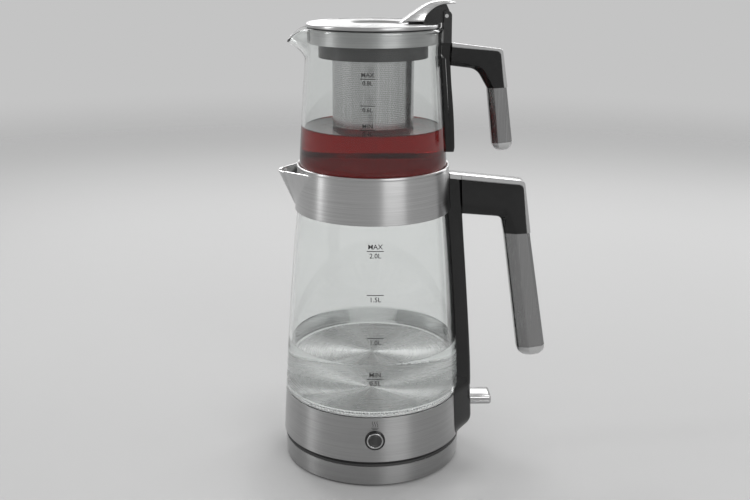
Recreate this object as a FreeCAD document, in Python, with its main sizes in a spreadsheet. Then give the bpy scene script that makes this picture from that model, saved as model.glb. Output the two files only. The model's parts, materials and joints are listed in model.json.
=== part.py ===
import FreeCAD, Part
import math
import os
import re

import Sketcher

# Automatic tea maker: a glass teapot that stands in the collar of a glass kettle on a round power base.
# Millimetres, Z up. The origin is on the kettle's axis at the level of the table.
# The handles point along +X, the spouts along -X, and the button faces -Y.

Vector = FreeCAD.Vector

document = FreeCAD.newDocument("tea_maker")
sheet = document.addObject("Spreadsheet::Sheet", "sizes")

# Driving sizes of the whole object
commonSizes = {
    "fit": 0.08,
    "running": 0.3,
    "spine_overlap": 5.2,
    "pin_play": 0.06,
    "sheet_steel": 1.0,
    "small_edge": 0.8,
    "tool_reach": 20.0,
    "tool_spare": 4.0,
    "edge_fine": 0.2,
    "edge_small": 0.4,
    "edge_medium": 0.6,
    "edge_large": 0.8,
}

# Driving sizes of the power base
baseSizes = {
    "base_low_radius": 76.1,
    "base_flare": 0.7,
    "base_ring_height": 16.8,
    "foot_height": 2.0,
    "foot_sink": 1.5,
    "foot_radius": 7.0,
    "foot_inset": 16.1,
    "pan_thickness": 3.0,
    "deck_thickness": 1.8,
    "deck_edge_step": 0.6,
    "deck_skirt_wall": 2.0,
    "post_radius": 15.0,
    "post_height": 12.4,
    "post_flange_width": 4.0,
    "post_flange_thickness": 2.0,
    "groove_inner_radius": 8.6,
    "groove_width": 3.0,
    "groove_depth": 10.0,
    "contact_wall": 0.6,
    "contact_pin_radius": 1.6,
    "contact_pin_length": 9.0,
    "contact_recess": 1.2,
    "blade_play": 0.7,
    "blade_length": 7.0,
    "pin_well_radius": 3.4,
    "base_screw_inset": 28.1,
    "screw_radius": 1.5,
    "screw_head_radius": 3.2,
    "screw_head_height": 2.0,
    "base_screw_length": 12.0,
    "boss_radius": 4.2,
    "cord_hole_radius": 3.6,
    "cord_bush_wall": 2.2,
    "cord_bush_rise": 0.6,
    "cord_bush_length": 10.0,
    "cord_bush_proud": 2.9,
}

# Driving sizes of the kettle's lower part
bandSizes = {
    "stand_gap": 0.4,
    "underpan_thickness": 2.8,
    "underpan_step": 1.0,
    "underpan_upstand": 6.0,
    "underpan_upstand_wall": 2.4,
    "band_overhang": 1.8,
    "band_taper": 2.0,
    "band_height": 38.8,
    "connector_wall": 4.7,
    "connector_flange": 3.0,
    "connector_flange_thickness": 2.0,
    "connector_roof": 1.8,
    "connector_head_room": 1.2,
    "glass_seat_height": 6.6,
    "glass_seat_width": 7.2,
    "glass_seat_shelf": 1.2,
    "pillar_radius": 4.0,
    "pillar_inset": 2.7,
    "kettle_screw_length": 14.0,
    "plate_margin": 3.7,
    "plate_thickness": 2.4,
    "plate_rise": 2.4,
    "gasket_rise": 3.6,
    "element_inset": 23.2,
    "element_radius": 3.2,
    "element_sweep": 300.0,
    "element_pin_length": 9.0,
    "thermostat_radius": 18.0,
    "thermostat_height": 13.0,
    "thermostat_pad_radius": 9.0,
    "button_lift": 0.4,
    "button_bezel_radius": 8.3,
    "button_bezel_wall": 1.1,
    "button_ring_wall": 1.6,
    "button_proud": 1.6,
    "button_depth": 7.4,
    "button_ring_proud": 0.5,
    "button_cap_proud": 0.7,
    "button_travel": 1.5,
    "board_width": 22.0,
    "board_thickness": 1.6,
    "board_above_button": 8.7,
    "board_inset": 10.3,
    "tact_width": 6.0,
    "tact_height": 2.4,
}

# Driving sizes of the kettle's glass, collar and spout
vesselSizes = {
    "glass_wall": 3.0,
    "glass_bow": 2900.0,
    "glass_height": 167.4,
    "glass_taper": 13.0,
    "collar_overlap": 7.4,
    "collar_height": 38.0,
    "collar_step": 2.7,
    "collar_taper": 2.4,
    "rim_height": 2.0,
    "rim_width": 1.25,
    "gasket_cap": 2.0,
    "ledge_depth": 12.2,
    "ledge_width": 12.2,
    "ledge_thickness": 1.0,
    "seat_ring_thickness": 4.2,
    "seat_ring_play": 0.15,
    "steam_hole_radius": 1.8,
    "steam_hole_inset": 4.0,
    "steam_hole_count": 12.0,
    "spout_reach": 15.8,
    "spout_tip_drop": 3.2,
    "spout_nose_width": 8.0,
    "spout_foot_rise": 1.8,
    "spout_mouth_angle": 39.0,
    "spout_mouth_drop": 1.4,
    "spout_wall": 1.0,
    "spout_window_rise": 4.0,
    "spout_window_drop": 0.8,
    "spout_window_angle": 13.0,
    "filter_margin": 2.0,
    "filter_hole_margin": 1.6,
    "filter_margin_angle": 4.0,
    "filter_wall": 0.8,
    "filter_hole_radius": 1.2,
    "filter_hole_pitch": 5.0,
}

# Driving sizes of the kettle's spine, steam tube and power switch
spineSizes = {
    "spine_width": 36.0,
    "spine_top_width": 20.0,
    "spine_foot_depth": 10.3,
    "spine_low_depth": 9.0,
    "spine_low_rise": 30.0,
    "spine_mid_depth": 4.4,
    "spine_mid_rise": 93.4,
    "spine_arm_depth": 9.6,
    "spine_top_depth": 8.0,
    "spine_top_drop": 8.9,
    "tube_radius": 2.5,
    "tube_wall": 0.7,
    "tube_bend": 5.0,
    "tube_inlet": 2.7,
    "tube_top_depth": 2.8,
    "tube_foot_depth": 4.0,
    "tube_foot_drop": 3.6,
    "tube_rise": 4.0,
    "channel_width": 6.4,
    "channel_wall": 0.8,
    "spine_screw_drop": 5.4,
    "spine_screw_spread": 12.0,
    "spine_screw_radius": 1.2,
    "spine_screw_head": 2.4,
    "spine_screw_head_height": 1.6,
    "spine_screw_gap": 0.7,
    "spine_screw_length": 8.0,
    "housing_width": 62.0,
    "housing_face_width": 26.0,
    "housing_face_spare": 0.4,
    "housing_side_depth": 2.0,
    "housing_depth": 10.1,
    "housing_rise": 0.6,
    "housing_corner": 6.0,
    "housing_sink": 5.9,
    "paddle_width": 22.0,
    "paddle_thickness": 7.5,
    "paddle_edge": 1.5,
    "paddle_drop": 8.25,
    "paddle_start": 1.7,
    "paddle_reach": 17.5,
    "paddle_pivot": 5.3,
    "paddle_pin_radius": 1.5,
    "paddle_pin_length": 30.0,
    "paddle_side_play": 0.4,
    "paddle_room_below": 6.55,
    "paddle_room_above": 5.45,
    "switch_block_depth": 12.0,
    "switch_block_width": 18.0,
    "switch_block_drop": 2.0,
    "switch_stand_setback": 4.0,
}

# Driving sizes of the kettle's handle, as far out from the collar and down from its ends
handleSizes = {
    "arm_width": 20.0,
    "arm_edge": 2.6,
    "arm_under_drop": 5.6,
    "arm_top_drop": 10.0,
    "corner_out": 60.4,
    "corner_drop": 15.8,
    "elbow_out": 43.6,
    "elbow_drop": 8.3,
    "grip_top_outer_out": 67.6,
    "grip_top_outer_drop": 21.6,
    "grip_top_inner_out": 46.2,
    "grip_top_inner_drop": 23.0,
    "grip_end_outer_out": 85.0,
    "grip_end_outer_drop": 123.2,
    "grip_end_inner_out": 61.6,
    "grip_end_inner_drop": 126.8,
    "grip_dome_radius": 12.2,
    "grip_sheet": 1.2,
    "trim_thickness": 0.8,
    "trim_width": 14.0,
}

# Driving sizes of the teapot and its infuser
teapotSizes = {
    "teapot_play": 0.55,
    "teapot_height": 116.7,
    "teapot_corner_radius": 5.0,
    "teapot_taper": 6.2,
    "teapot_neck_height": 20.9,
    "teapot_bow": 2500.0,
    "teapot_wall": 2.8,
    "teapot_floor": 3.4,
    "teapot_bead": 0.7,
    "lip_out": 14.2,
    "lip_tip_drop": 9.7,
    "lip_tip_radius": 3.2,
    "lip_root_inset": 9.2,
    "lip_root_drop": 9.4,
    "lip_root_radius": 14.0,
    "lip_wall": 2.2,
    "lip_edge": 0.5,
    "lip_trim_past": 8.0,
    "lip_trim_inset": 12.0,
    "lip_trim_half": 40.0,
    "lip_trim_height": 30.0,
    "infuser_lip_inset": 1.0,
    "infuser_lip_thickness": 0.5,
    "infuser_play": 0.7,
    "infuser_skirt_height": 11.5,
    "infuser_shoulder_width": 11.7,
    "infuser_collar_inset": 7.2,
    "infuser_collar_height": 11.2,
    "infuser_collar_wall": 1.5,
    "basket_radius": 33.4,
    "basket_wall": 0.6,
    "basket_depth": 67.0,
    "basket_flange_inset": 2.7,
    "strainer_slot_width": 2.4,
    "strainer_slot_pitch": 4.6,
    "strainer_slot_count": 7.0,
}

# Driving sizes of the teapot's handle, as far out from the neck and down from the rim
teapotHandleSizes = {
    "pot_spine_width": 14.0,
    "pot_mount_width": 19.0,
    "pot_mount_thickness": 3.0,
    "pot_spine_rise": 16.3,
    "pot_spine_depth": 6.0,
    "pot_spine_top_drop": 11.3,
    "pot_arm_width": 16.0,
    "pot_arm_edge": 2.2,
    "pot_arm_under_out": 7.4,
    "pot_arm_under_drop": 29.9,
    "pot_arm_top_out": 8.2,
    "pot_arm_top_drop": 12.1,
    "pot_corner_out": 49.0,
    "pot_corner_drop": 16.7,
    "pot_elbow_out": 24.8,
    "pot_elbow_drop": 32.3,
    "pot_elbow_radius": 15.5,
    "pot_grip_top_outer_out": 53.6,
    "pot_grip_top_outer_drop": 47.0,
    "pot_grip_top_inner_out": 38.0,
    "pot_grip_top_inner_drop": 48.1,
    "pot_grip_end_outer_out": 59.8,
    "pot_grip_end_outer_drop": 91.5,
    "pot_grip_end_inner_out": 43.4,
    "pot_grip_end_inner_drop": 93.5,
    "pot_grip_dome_radius": 8.6,
    "pot_trim_width": 11.0,
}

# Driving sizes of the lid and its hinge, the lever's as far in front of the pin and up from the lid
lidSizes = {
    "lid_inset": 0.9,
    "lid_edge": 1.4,
    "lid_gap": 1.3,
    "lid_height": 2.6,
    "lid_sheet": 0.9,
    "lid_dish_radius": 26.5,
    "lid_dish_depth": 1.6,
    "lid_dish_slope": 2.0,
    "liner_drop": 0.5,
    "liner_inset": 1.3,
    "liner_ring_inner_radius": 32.0,
    "lever_front": 28.6,
    "lever_front_rise": 1.4,
    "lever_slope": 25.9,
    "lever_slope_rise": 6.3,
    "lever_neck": 14.7,
    "lever_neck_rise": 15.4,
    "lever_top": 5.0,
    "lever_top_rise": 17.7,
    "lever_tip": 7.0,
    "lever_tip_rise": 17.0,
    "lever_tip_thickness": 1.6,
    "lever_under_rise": 14.6,
    "lever_bend": 10.5,
    "lever_bend_rise": 11.9,
    "lever_heel": 16.0,
    "lever_heel_rise": 6.4,
    "lever_foot": 18.3,
    "lever_width": 18.0,
    "hinge_out": 3.0,
    "hinge_rise": 6.2,
    "hinge_pin_radius": 1.5,
    "hinge_pin_length": 18.6,
    "hinge_block_width": 12.0,
    "hinge_block_length": 5.2,
    "hinge_knuckle_radius": 4.2,
    "ear_thickness": 3.0,
    "ear_radius": 4.2,
    "bracket_in": 0.9,
    "bracket_out": 7.4,
    "bracket_web_drop": 0.9,
    "lid_screw_setback": 10.2,
    "lid_screw_spread": 6.4,
    "lid_screw_radius": 1.1,
    "lid_screw_length": 5.6,
}

# What follows from the driving sizes: each word stands for its formula wherever it is used
follows = {
    "base_high_radius": "base_low_radius + base_flare",
    "base_inner_radius": "base_low_radius - sheet_steel - fit",
    "foot_circle": "base_low_radius - foot_inset",
    "base_screw_circle": "base_low_radius - base_screw_inset",
    "deck_edge_radius": "base_high_radius - deck_edge_step",
    "post_flange_radius": "post_radius + post_flange_width",
    "groove_outer_radius": "groove_inner_radius + groove_width",
    "pan_top": "foot_height + pan_thickness",
    "ring_top": "foot_height + base_ring_height",
    "deck_top": "ring_top + deck_thickness",
    "post_bottom": "ring_top - post_flange_thickness",
    "post_top": "deck_top + post_height",
    "contact_top": "post_top - contact_recess",
    "cord_bush_radius": "cord_hole_radius + cord_bush_wall",
    "cord_bush_level": "pan_top + cord_bush_radius + cord_bush_rise",
    "cord_bush_inner_end": "base_low_radius + cord_bush_proud - cord_bush_length",
    "blade_inner_radius": "groove_inner_radius + blade_play",
    "underpan_bottom": "deck_top + stand_gap",
    "underpan_top": "underpan_bottom + underpan_thickness",
    "underpan_low_radius": "base_high_radius - underpan_step",
    "band_low_radius": "base_low_radius + band_overhang",
    "band_high_radius": "band_low_radius - band_taper",
    "band_top": "underpan_top + band_height",
    "connector_inner_radius": "post_radius + running",
    "connector_outer_radius": "connector_inner_radius + connector_wall",
    "connector_bottom": "underpan_bottom + 0.5 * stand_gap",
    "flange_bottom": "underpan_top + running",
    "flange_top": "flange_bottom + connector_flange_thickness",
    "roof_under": "post_top + connector_head_room",
    "roof_top": "roof_under + connector_roof",
    "seat_bottom": "band_top - glass_seat_height",
    "seat_shelf_top": "seat_bottom + glass_seat_shelf",
    "plate_radius": "band_high_radius - glass_wall - plate_margin",
    "plate_top": "band_top + plate_rise",
    "plate_under": "plate_top - plate_thickness",
    "glass_seat_inner_radius": "plate_radius - glass_seat_width",
    "pillar_circle": "plate_radius - pillar_inset",
    "element_circle": "plate_radius - element_inset",
    "element_level": "plate_under - element_radius - fit",
    "thermostat_bottom": "roof_top + running",
    "thermostat_shoulder": "thermostat_bottom + thermostat_height",
    "button_level": "(underpan_top + underpan_upstand + seat_bottom) / 2 + button_lift",
    "board_top": "button_level + board_above_button",
    "board_place": "band_high_radius - board_inset",
    "gasket_top": "band_top + gasket_rise",
    "glass_top": "band_top + glass_height",
    "glass_top_radius": "band_high_radius - glass_taper",
    "glass_top_slope": "glass_taper / glass_height + glass_height / (2 * glass_bow)",
    "collar_level": "glass_top - collar_overlap",
    "collar_top": "collar_level + collar_height",
    "collar_low_radius": "glass_top_radius + collar_step",
    "collar_high_radius": "collar_low_radius - collar_taper",
    "rim_bottom": "collar_top - rim_height",
    "rim_inner_radius": "collar_high_radius - rim_width",
    "ledge_level": "collar_top - ledge_depth",
    "ledge_top": "ledge_level + ledge_thickness",
    "ledge_inner_radius": "collar_high_radius - ledge_width",
    "seat_ring_bottom": "ledge_top + running",
    "seat_ring_top": "seat_ring_bottom + seat_ring_thickness",
    "seat_ring_outer_radius": "rim_inner_radius - seat_ring_play",
    "steam_hole_circle": "ledge_inner_radius + steam_hole_inset",
    "spout_tip_reach": "collar_high_radius + spout_reach",
    "spout_tip_level": "collar_top - spout_tip_drop",
    "spout_foot_level": "collar_level + spout_foot_rise",
    "spout_mouth_level": "collar_top - spout_mouth_drop",
    "spout_window_high": "ledge_level - spout_window_drop",
    "spout_window_low": "gasket_cap_top + spout_window_rise",
    "gasket_cap_top": "glass_top + gasket_cap",
    "filter_bottom": "spout_window_low - filter_margin",
    "spine_inner_reach": "collar_high_radius - spine_overlap",
    "spine_foot_reach": "band_high_radius + spine_foot_depth",
    "spine_low_reach": "band_high_radius + spine_low_depth",
    "spine_low_level": "band_top + spine_low_rise",
    "spine_mid_reach": "band_high_radius + spine_mid_depth",
    "spine_mid_level": "band_top + spine_mid_rise",
    "spine_arm_reach": "collar_low_radius + spine_arm_depth",
    "spine_top_reach": "collar_low_radius + spine_top_depth",
    "spine_top_inner_level": "collar_top - spine_top_drop",
    "tube_inlet_reach": "collar_high_radius - tube_inlet",
    "tube_top_reach": "collar_low_radius + tube_top_depth",
    "tube_top_level": "gasket_cap_top + tube_rise",
    "tube_foot_reach": "band_high_radius + tube_foot_depth",
    "tube_foot_level": "band_top - tube_foot_drop",
    "spine_screw_level": "ledge_level - spine_screw_drop",
    "housing_low_reach": "band_low_radius + housing_depth",
    "housing_bottom_level": "underpan_top + housing_rise",
    "housing_back_reach": "band_high_radius - housing_sink",
    "paddle_level": "seat_bottom - paddle_drop",
    "paddle_inner_reach": "band_high_radius + paddle_start",
    "paddle_outer_reach": "housing_low_reach + paddle_reach",
    "paddle_pivot_reach": "band_high_radius + paddle_pivot",
    "paddle_slot_low": "paddle_level - paddle_room_below",
    "paddle_slot_high": "paddle_level + paddle_room_above",
    "switch_block_bottom": "paddle_slot_low - switch_block_drop",
    "paddle_under": "paddle_level - paddle_thickness / 2",
    "paddle_over": "paddle_level + paddle_thickness / 2",
    "arm_under_level": "collar_level - arm_under_drop",
    "arm_top_level": "collar_top - arm_top_drop",
    "corner_reach": "collar_low_radius + corner_out",
    "corner_level": "collar_top - corner_drop",
    "elbow_reach": "collar_low_radius + elbow_out",
    "elbow_level": "collar_level - elbow_drop",
    "grip_top_outer_reach": "collar_low_radius + grip_top_outer_out",
    "grip_top_outer_level": "collar_level - grip_top_outer_drop",
    "grip_top_inner_reach": "collar_low_radius + grip_top_inner_out",
    "grip_top_inner_level": "collar_level - grip_top_inner_drop",
    "grip_end_outer_reach": "collar_low_radius + grip_end_outer_out",
    "grip_end_outer_level": "collar_level - grip_end_outer_drop",
    "grip_end_inner_reach": "collar_low_radius + grip_end_inner_out",
    "grip_end_inner_level": "collar_level - grip_end_inner_drop",
    "teapot_bottom": "seat_ring_top + running",
    "teapot_side": "teapot_bottom + teapot_corner_radius",
    "teapot_low_radius": "rim_inner_radius - teapot_play",
    "teapot_neck_radius": "teapot_low_radius - teapot_taper",
    "teapot_rim_level": "teapot_bottom + teapot_height",
    "teapot_neck_level": "teapot_rim_level - teapot_neck_height",
    "bead_bottom": "teapot_rim_level - 3",
    "bead_middle": "teapot_rim_level - 1.4",
    "teapot_inner_low": "teapot_low_radius - teapot_wall",
    "teapot_inner_neck": "teapot_neck_radius - teapot_wall",
    "lip_reach": "teapot_neck_radius + lip_out",
    "lip_tip_level": "teapot_rim_level - lip_tip_drop",
    "lip_root_reach": "teapot_neck_radius - lip_root_inset",
    "lip_root_level": "teapot_rim_level - lip_root_drop",
    "infuser_lip_radius": "teapot_neck_radius - infuser_lip_inset",
    "infuser_skirt_radius": "teapot_inner_neck - infuser_play",
    "infuser_top": "teapot_rim_level + infuser_lip_thickness",
    "infuser_shoulder_level": "teapot_rim_level - infuser_skirt_height",
    "infuser_shoulder_top": "infuser_shoulder_level + sheet_steel",
    "infuser_shoulder_radius": "infuser_skirt_radius - infuser_shoulder_width",
    "infuser_collar_radius": "infuser_skirt_radius - infuser_collar_inset",
    "infuser_collar_bottom": "infuser_shoulder_level - infuser_collar_height",
    "basket_flange_radius": "infuser_skirt_radius - basket_flange_inset",
    "basket_floor": "infuser_shoulder_top - basket_depth",
    "pot_inner_reach": "teapot_neck_radius - spine_overlap",
    "pot_spine_low_level": "teapot_bottom + pot_spine_rise",
    "pot_spine_low_reach": "teapot_low_radius + pot_spine_depth",
    "pot_spine_top_level": "teapot_rim_level - pot_spine_top_drop",
    "pot_mount_bottom": "pot_spine_low_level + 1",
    "pot_mount_top": "teapot_neck_level - 2",
    "pot_arm_under_reach": "teapot_neck_radius + pot_arm_under_out",
    "pot_arm_under_level": "teapot_rim_level - pot_arm_under_drop",
    "pot_arm_top_reach": "teapot_neck_radius + pot_arm_top_out",
    "pot_arm_top_level": "teapot_rim_level - pot_arm_top_drop",
    "pot_corner_reach": "teapot_neck_radius + pot_corner_out",
    "pot_corner_level": "teapot_rim_level - pot_corner_drop",
    "pot_elbow_reach": "teapot_neck_radius + pot_elbow_out",
    "pot_elbow_level": "teapot_rim_level - pot_elbow_drop",
    "pot_grip_top_outer_reach": "teapot_neck_radius + pot_grip_top_outer_out",
    "pot_grip_top_outer_level": "teapot_rim_level - pot_grip_top_outer_drop",
    "pot_grip_top_inner_reach": "teapot_neck_radius + pot_grip_top_inner_out",
    "pot_grip_top_inner_level": "teapot_rim_level - pot_grip_top_inner_drop",
    "pot_grip_end_outer_reach": "teapot_neck_radius + pot_grip_end_outer_out",
    "pot_grip_end_outer_level": "teapot_rim_level - pot_grip_end_outer_drop",
    "pot_grip_end_inner_reach": "teapot_neck_radius + pot_grip_end_inner_out",
    "pot_grip_end_inner_level": "teapot_rim_level - pot_grip_end_inner_drop",
    "lid_radius": "teapot_neck_radius - lid_inset",
    "lid_top_radius": "lid_radius - lid_edge",
    "lid_level": "teapot_rim_level + lid_gap",
    "lid_top": "lid_level + lid_height",
    "lid_under": "lid_top - lid_sheet",
    "lid_dish_floor": "lid_top - lid_dish_depth",
    "liner_radius": "lid_radius - liner_inset",
    "liner_bottom": "lid_level - liner_drop",
    "liner_top": "lid_dish_floor - lid_sheet",
    "hinge_reach": "teapot_neck_radius + hinge_out",
    "hinge_level": "lid_top + hinge_rise",
    "bracket_inner_reach": "teapot_neck_radius + bracket_in",
    "bracket_outer_reach": "teapot_neck_radius + bracket_out",
    "bracket_web_level": "teapot_rim_level - bracket_web_drop",
    "lid_screw_reach": "hinge_reach - lid_screw_setback",
    "hinge_block_front": "hinge_reach - hinge_block_length",
    "lever_front_reach": "hinge_reach - lever_front",
    "lever_front_level": "lid_top + lever_front_rise",
    "lever_slope_reach": "hinge_reach - lever_slope",
    "lever_slope_level": "lid_top + lever_slope_rise",
    "lever_neck_reach": "hinge_reach - lever_neck",
    "lever_neck_level": "lid_top + lever_neck_rise",
    "lever_top_reach": "hinge_reach - lever_top",
    "lever_top_level": "lid_top + lever_top_rise",
    "lever_tip_reach": "hinge_reach + lever_tip",
    "lever_tip_level": "lid_top + lever_tip_rise",
    "lever_under_level": "lid_top + lever_under_rise",
    "lever_bend_reach": "hinge_reach - lever_bend",
    "lever_bend_level": "lid_top + lever_bend_rise",
    "lever_heel_reach": "hinge_reach - lever_heel",
    "lever_heel_level": "lid_top + lever_heel_rise",
    "lever_foot_reach": "hinge_reach - lever_foot",
}

aliases = set()
row = 0
for sizes in (commonSizes, baseSizes, bandSizes, vesselSizes, spineSizes, handleSizes,
              teapotSizes, teapotHandleSizes, lidSizes):
    for alias, size in sizes.items():
        row += 1
        sheet.set(f"A{row}", alias)
        sheet.set(f"B{row}", str(size))
        sheet.setAlias(f"B{row}", alias)
        aliases.add(alias)
document.recompute()


# Spells a formula out in cells of the sheet
def bound(formula):
    def spelled(match):
        word = match.group()
        if word in follows:
            return "(" + bound(follows[word]) + ")"
        return "sizes." + word if word in aliases else word
    return re.sub(r"[a-z][a-z0-9_]*", spelled, str(formula))


def number(formula):
    return float(sheet.evalExpression(bound(formula)))


# The outer radius of the kettle's band at a level
def bandRadius(level):
    return f"(band_low_radius - ({level} - underpan_top) * band_taper / band_height)"


# The outer radius of the collar at a level
def collarRadius(level):
    return f"(collar_low_radius - ({level} - collar_level) * collar_taper / (collar_height - rim_height))"


pieces = []


def keep(shape, node):
    shape.Label = node
    pieces.append(shape)
    return shape


def originPlane(body, role):
    return [feature for feature in body.Origin.OriginFeatures if feature.Role == role][0]


# A corner of an outline is (across, up), or (across, up, bow, radius) where an arc leads to the next corner
def drawOutline(sketch, corners):
    count = len(corners)
    spots = [Vector(number(corner[0]), number(corner[1]), 0) for corner in corners]
    middle = Vector(sum(spot.x for spot in spots) / count, sum(spot.y for spot in spots) / count, 0)
    starts = []
    for index, corner in enumerate(corners):
        here = spots[index]
        there = spots[(index + 1) % count]
        if len(corner) == 2:
            sketch.addGeometry(Part.LineSegment(here, there), False)
            starts.append(1)
            continue
        half = (there - here) * 0.5
        normal = Vector(-half.y, half.x, 0).normalize()
        if normal.dot(here + half - middle) < 0:
            normal = normal * -1
        if corner[2] == "in":
            normal = normal * -1
        radius = number(corner[3])
        rise = radius - math.sqrt(radius ** 2 - half.Length ** 2)
        crown = here + half + normal * rise
        leftTurn = (crown - here).cross(there - crown).z > 0
        arc = Part.Arc(here, crown, there) if leftTurn else Part.Arc(there, crown, here)
        sketch.addGeometry(arc, False)
        first = sketch.Geometry[index].StartPoint
        starts.append(1 if (first - here).Length < 1e-6 else 2)
    for index, corner in enumerate(corners):
        after = (index + 1) % count
        sketch.addConstraint(Sketcher.Constraint("Coincident", index, 3 - starts[index], after, starts[after]))
    for index, corner in enumerate(corners):
        place = (("DistanceX", spots[index].x, -2, corner[0]), ("DistanceY", spots[index].y, -1, corner[1]))
        for kind, distance, axis, formula in place:
            if abs(distance) < 1e-9:
                sketch.addConstraint(Sketcher.Constraint("PointOnObject", index, starts[index], axis))
                continue
            rule = Sketcher.Constraint(kind, -1, 1, index, starts[index], distance)
            bind(sketch, rule, f"{kind}{index}", formula)
        if len(corner) > 2:
            bind(sketch, Sketcher.Constraint("Radius", index, number(corner[3])), f"Bow{index}", corner[3])


def bind(sketch, rule, name, formula):
    position = sketch.addConstraint(rule)
    sketch.renameConstraint(position, name)
    sketch.setExpression(f"Constraints.{name}", bound(formula))


def addSketch(body, role, title):
    sketch = body.newObject("Sketcher::SketchObject", title)
    sketch.AttachmentSupport = [(originPlane(body, role), "")]
    sketch.MapMode = "FlatFace"
    return sketch


# A turned piece: the outline in the XZ plane goes once round the Z axis
def lathe(title, corners):
    body = document.addObject("PartDesign::Body", title)
    sketch = addSketch(body, "XZ_Plane", title + "_outline")
    drawOutline(sketch, corners)
    turn = body.newObject("PartDesign::Revolution", title + "_turn")
    turn.Profile = sketch
    turn.ReferenceAxis = (sketch, ["V_Axis"])
    turn.Angle = 360
    document.recompute()
    return body


# A flat piece: an outline given a width, half of it on each side of its plane
def slab(title, corners, width, role="XZ_Plane"):
    body = document.addObject("PartDesign::Body", title)
    sketch = addSketch(body, role, title + "_outline")
    drawOutline(sketch, corners)
    pad = body.newObject("PartDesign::Pad", title + "_pad")
    pad.Profile = sketch
    pad.SideType = "Symmetric"
    pad.setExpression("Length", bound(width))
    document.recompute()
    return body


def edgeNames(shape, chosen):
    return [f"Edge{place + 1}" for place, edge in enumerate(shape.Edges) if chosen(edge)]


# Rounds or bevels the edges of a body's last feature that the test picks
def dress(body, kind, size, chosen):
    last = body.Tip
    feature = body.newObject("PartDesign::" + kind, body.Name + "_" + kind.lower())
    feature.Base = (last, edgeNames(last.Shape, chosen))
    feature.setExpression("Radius" if kind == "Fillet" else "Size", bound(size))
    document.recompute()
    return body


turns = {
    "X": FreeCAD.Rotation(Vector(0, 1, 0), 90),
    "Y": FreeCAD.Rotation(Vector(1, 0, 0), -90),
    "Z": FreeCAD.Rotation(),
}


# A round bar from a start point along an axis
def rod(title, radius, length, start, axis="Z"):
    bar = document.addObject("Part::Cylinder", title)
    bar.Placement = FreeCAD.Placement(Vector(0, 0, 0), turns[axis])
    bar.setExpression("Radius", bound(radius))
    bar.setExpression("Height", bound(length))
    for letter, formula in zip("xyz", start):
        bar.setExpression(f"Placement.Base.{letter}", bound(formula))
    return bar


# A box between two corners
def block(title, low, high):
    solid = document.addObject("Part::Box", title)
    for side, letter, first, last in zip(("Length", "Width", "Height"), "xyz", low, high):
        solid.setExpression(side, bound(f"({last}) - ({first})"))
        solid.setExpression(f"Placement.Base.{letter}", bound(first))
    return solid


def cut(title, solid, tool):
    result = document.addObject("Part::Cut", title)
    result.Base = solid
    result.Tool = tool
    return result


def common(title, solid, tool):
    result = document.addObject("Part::Common", title)
    result.Base = solid
    result.Tool = tool
    return result


def fuse(title, solids):
    result = document.addObject("Part::MultiFuse", title)
    result.Shapes = solids
    return result


def group(title, solids):
    result = document.addObject("Part::Compound", title)
    result.Links = solids
    return result


# The places of a number of like pieces on a circle about the Z axis
def around(count, radius, first=0.0):
    angles = [first + 360.0 * place / count for place in range(count)]
    return [(f"{radius} * cos({angle})", f"{radius} * sin({angle})") for angle in angles]


# Screws that stand along Z, with a flat head below and a shank above
def screws(title, places, headBottom, shankRadius, headRadius, headHeight, length):
    solids = []
    for index, (across, deep) in enumerate(places):
        head = rod(f"{title}_head{index}", headRadius, headHeight, (across, deep, headBottom))
        shankStart = f"{headBottom} + {headHeight}"
        shank = rod(f"{title}_shank{index}", shankRadius, length, (across, deep, shankStart))
        solids.append(fuse(f"{title}_screw{index}", [head, shank]))
    return group(title, solids)


# The holes for such screws, wider by the fit
def screwHoles(title, places, headBottom, shankRadius, headRadius, headHeight, length):
    return screws(title, places, headBottom, f"{shankRadius} + fit", f"{headRadius} + fit", headHeight, length)


# Power base

footPlaces = around(4, "foot_circle", 45) + [("0", "0")]
feet = [rod(f"foot{index}", "foot_radius", "foot_height + foot_sink", (across, deep, "0"))
        for index, (across, deep) in enumerate(footPlaces)]
keep(group("feet_group", feet), "base_feet")

baseScrewPlaces = around(4, "base_screw_circle", 0)
baseScrewSizes = ("foot_height", "screw_radius", "screw_head_radius", "screw_head_height",
                  "base_screw_length")
keep(screws("base_screw", baseScrewPlaces, *baseScrewSizes), "base_screws")

pan = lathe("pan_disc", [
    ("0", "foot_height"),
    ("base_inner_radius", "foot_height"),
    ("base_inner_radius", "pan_top"),
    ("0", "pan_top"),
])
footHoles = [rod(f"foot_hole{index}", "foot_radius + fit", "foot_sink", (across, deep, "foot_height"))
             for index, (across, deep) in enumerate(footPlaces)]
panHoles = group("pan_holes", footHoles + [screwHoles("pan_screw_hole", baseScrewPlaces, *baseScrewSizes)])
keep(cut("pan_cut", pan, panHoles), "base_pan")

ring = lathe("ring_shell", [
    ("base_low_radius - sheet_steel", "foot_height"),
    ("base_low_radius", "foot_height"),
    ("base_high_radius", "ring_top"),
    ("base_high_radius - sheet_steel", "ring_top"),
])
bushStart = ("0", "cord_bush_inner_end", "cord_bush_level")
bushHole = rod("ring_bush_hole", "cord_bush_radius + fit", "cord_bush_length", bushStart, "Y")
keep(cut("ring_cut", ring, bushHole), "base_ring")

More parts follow.
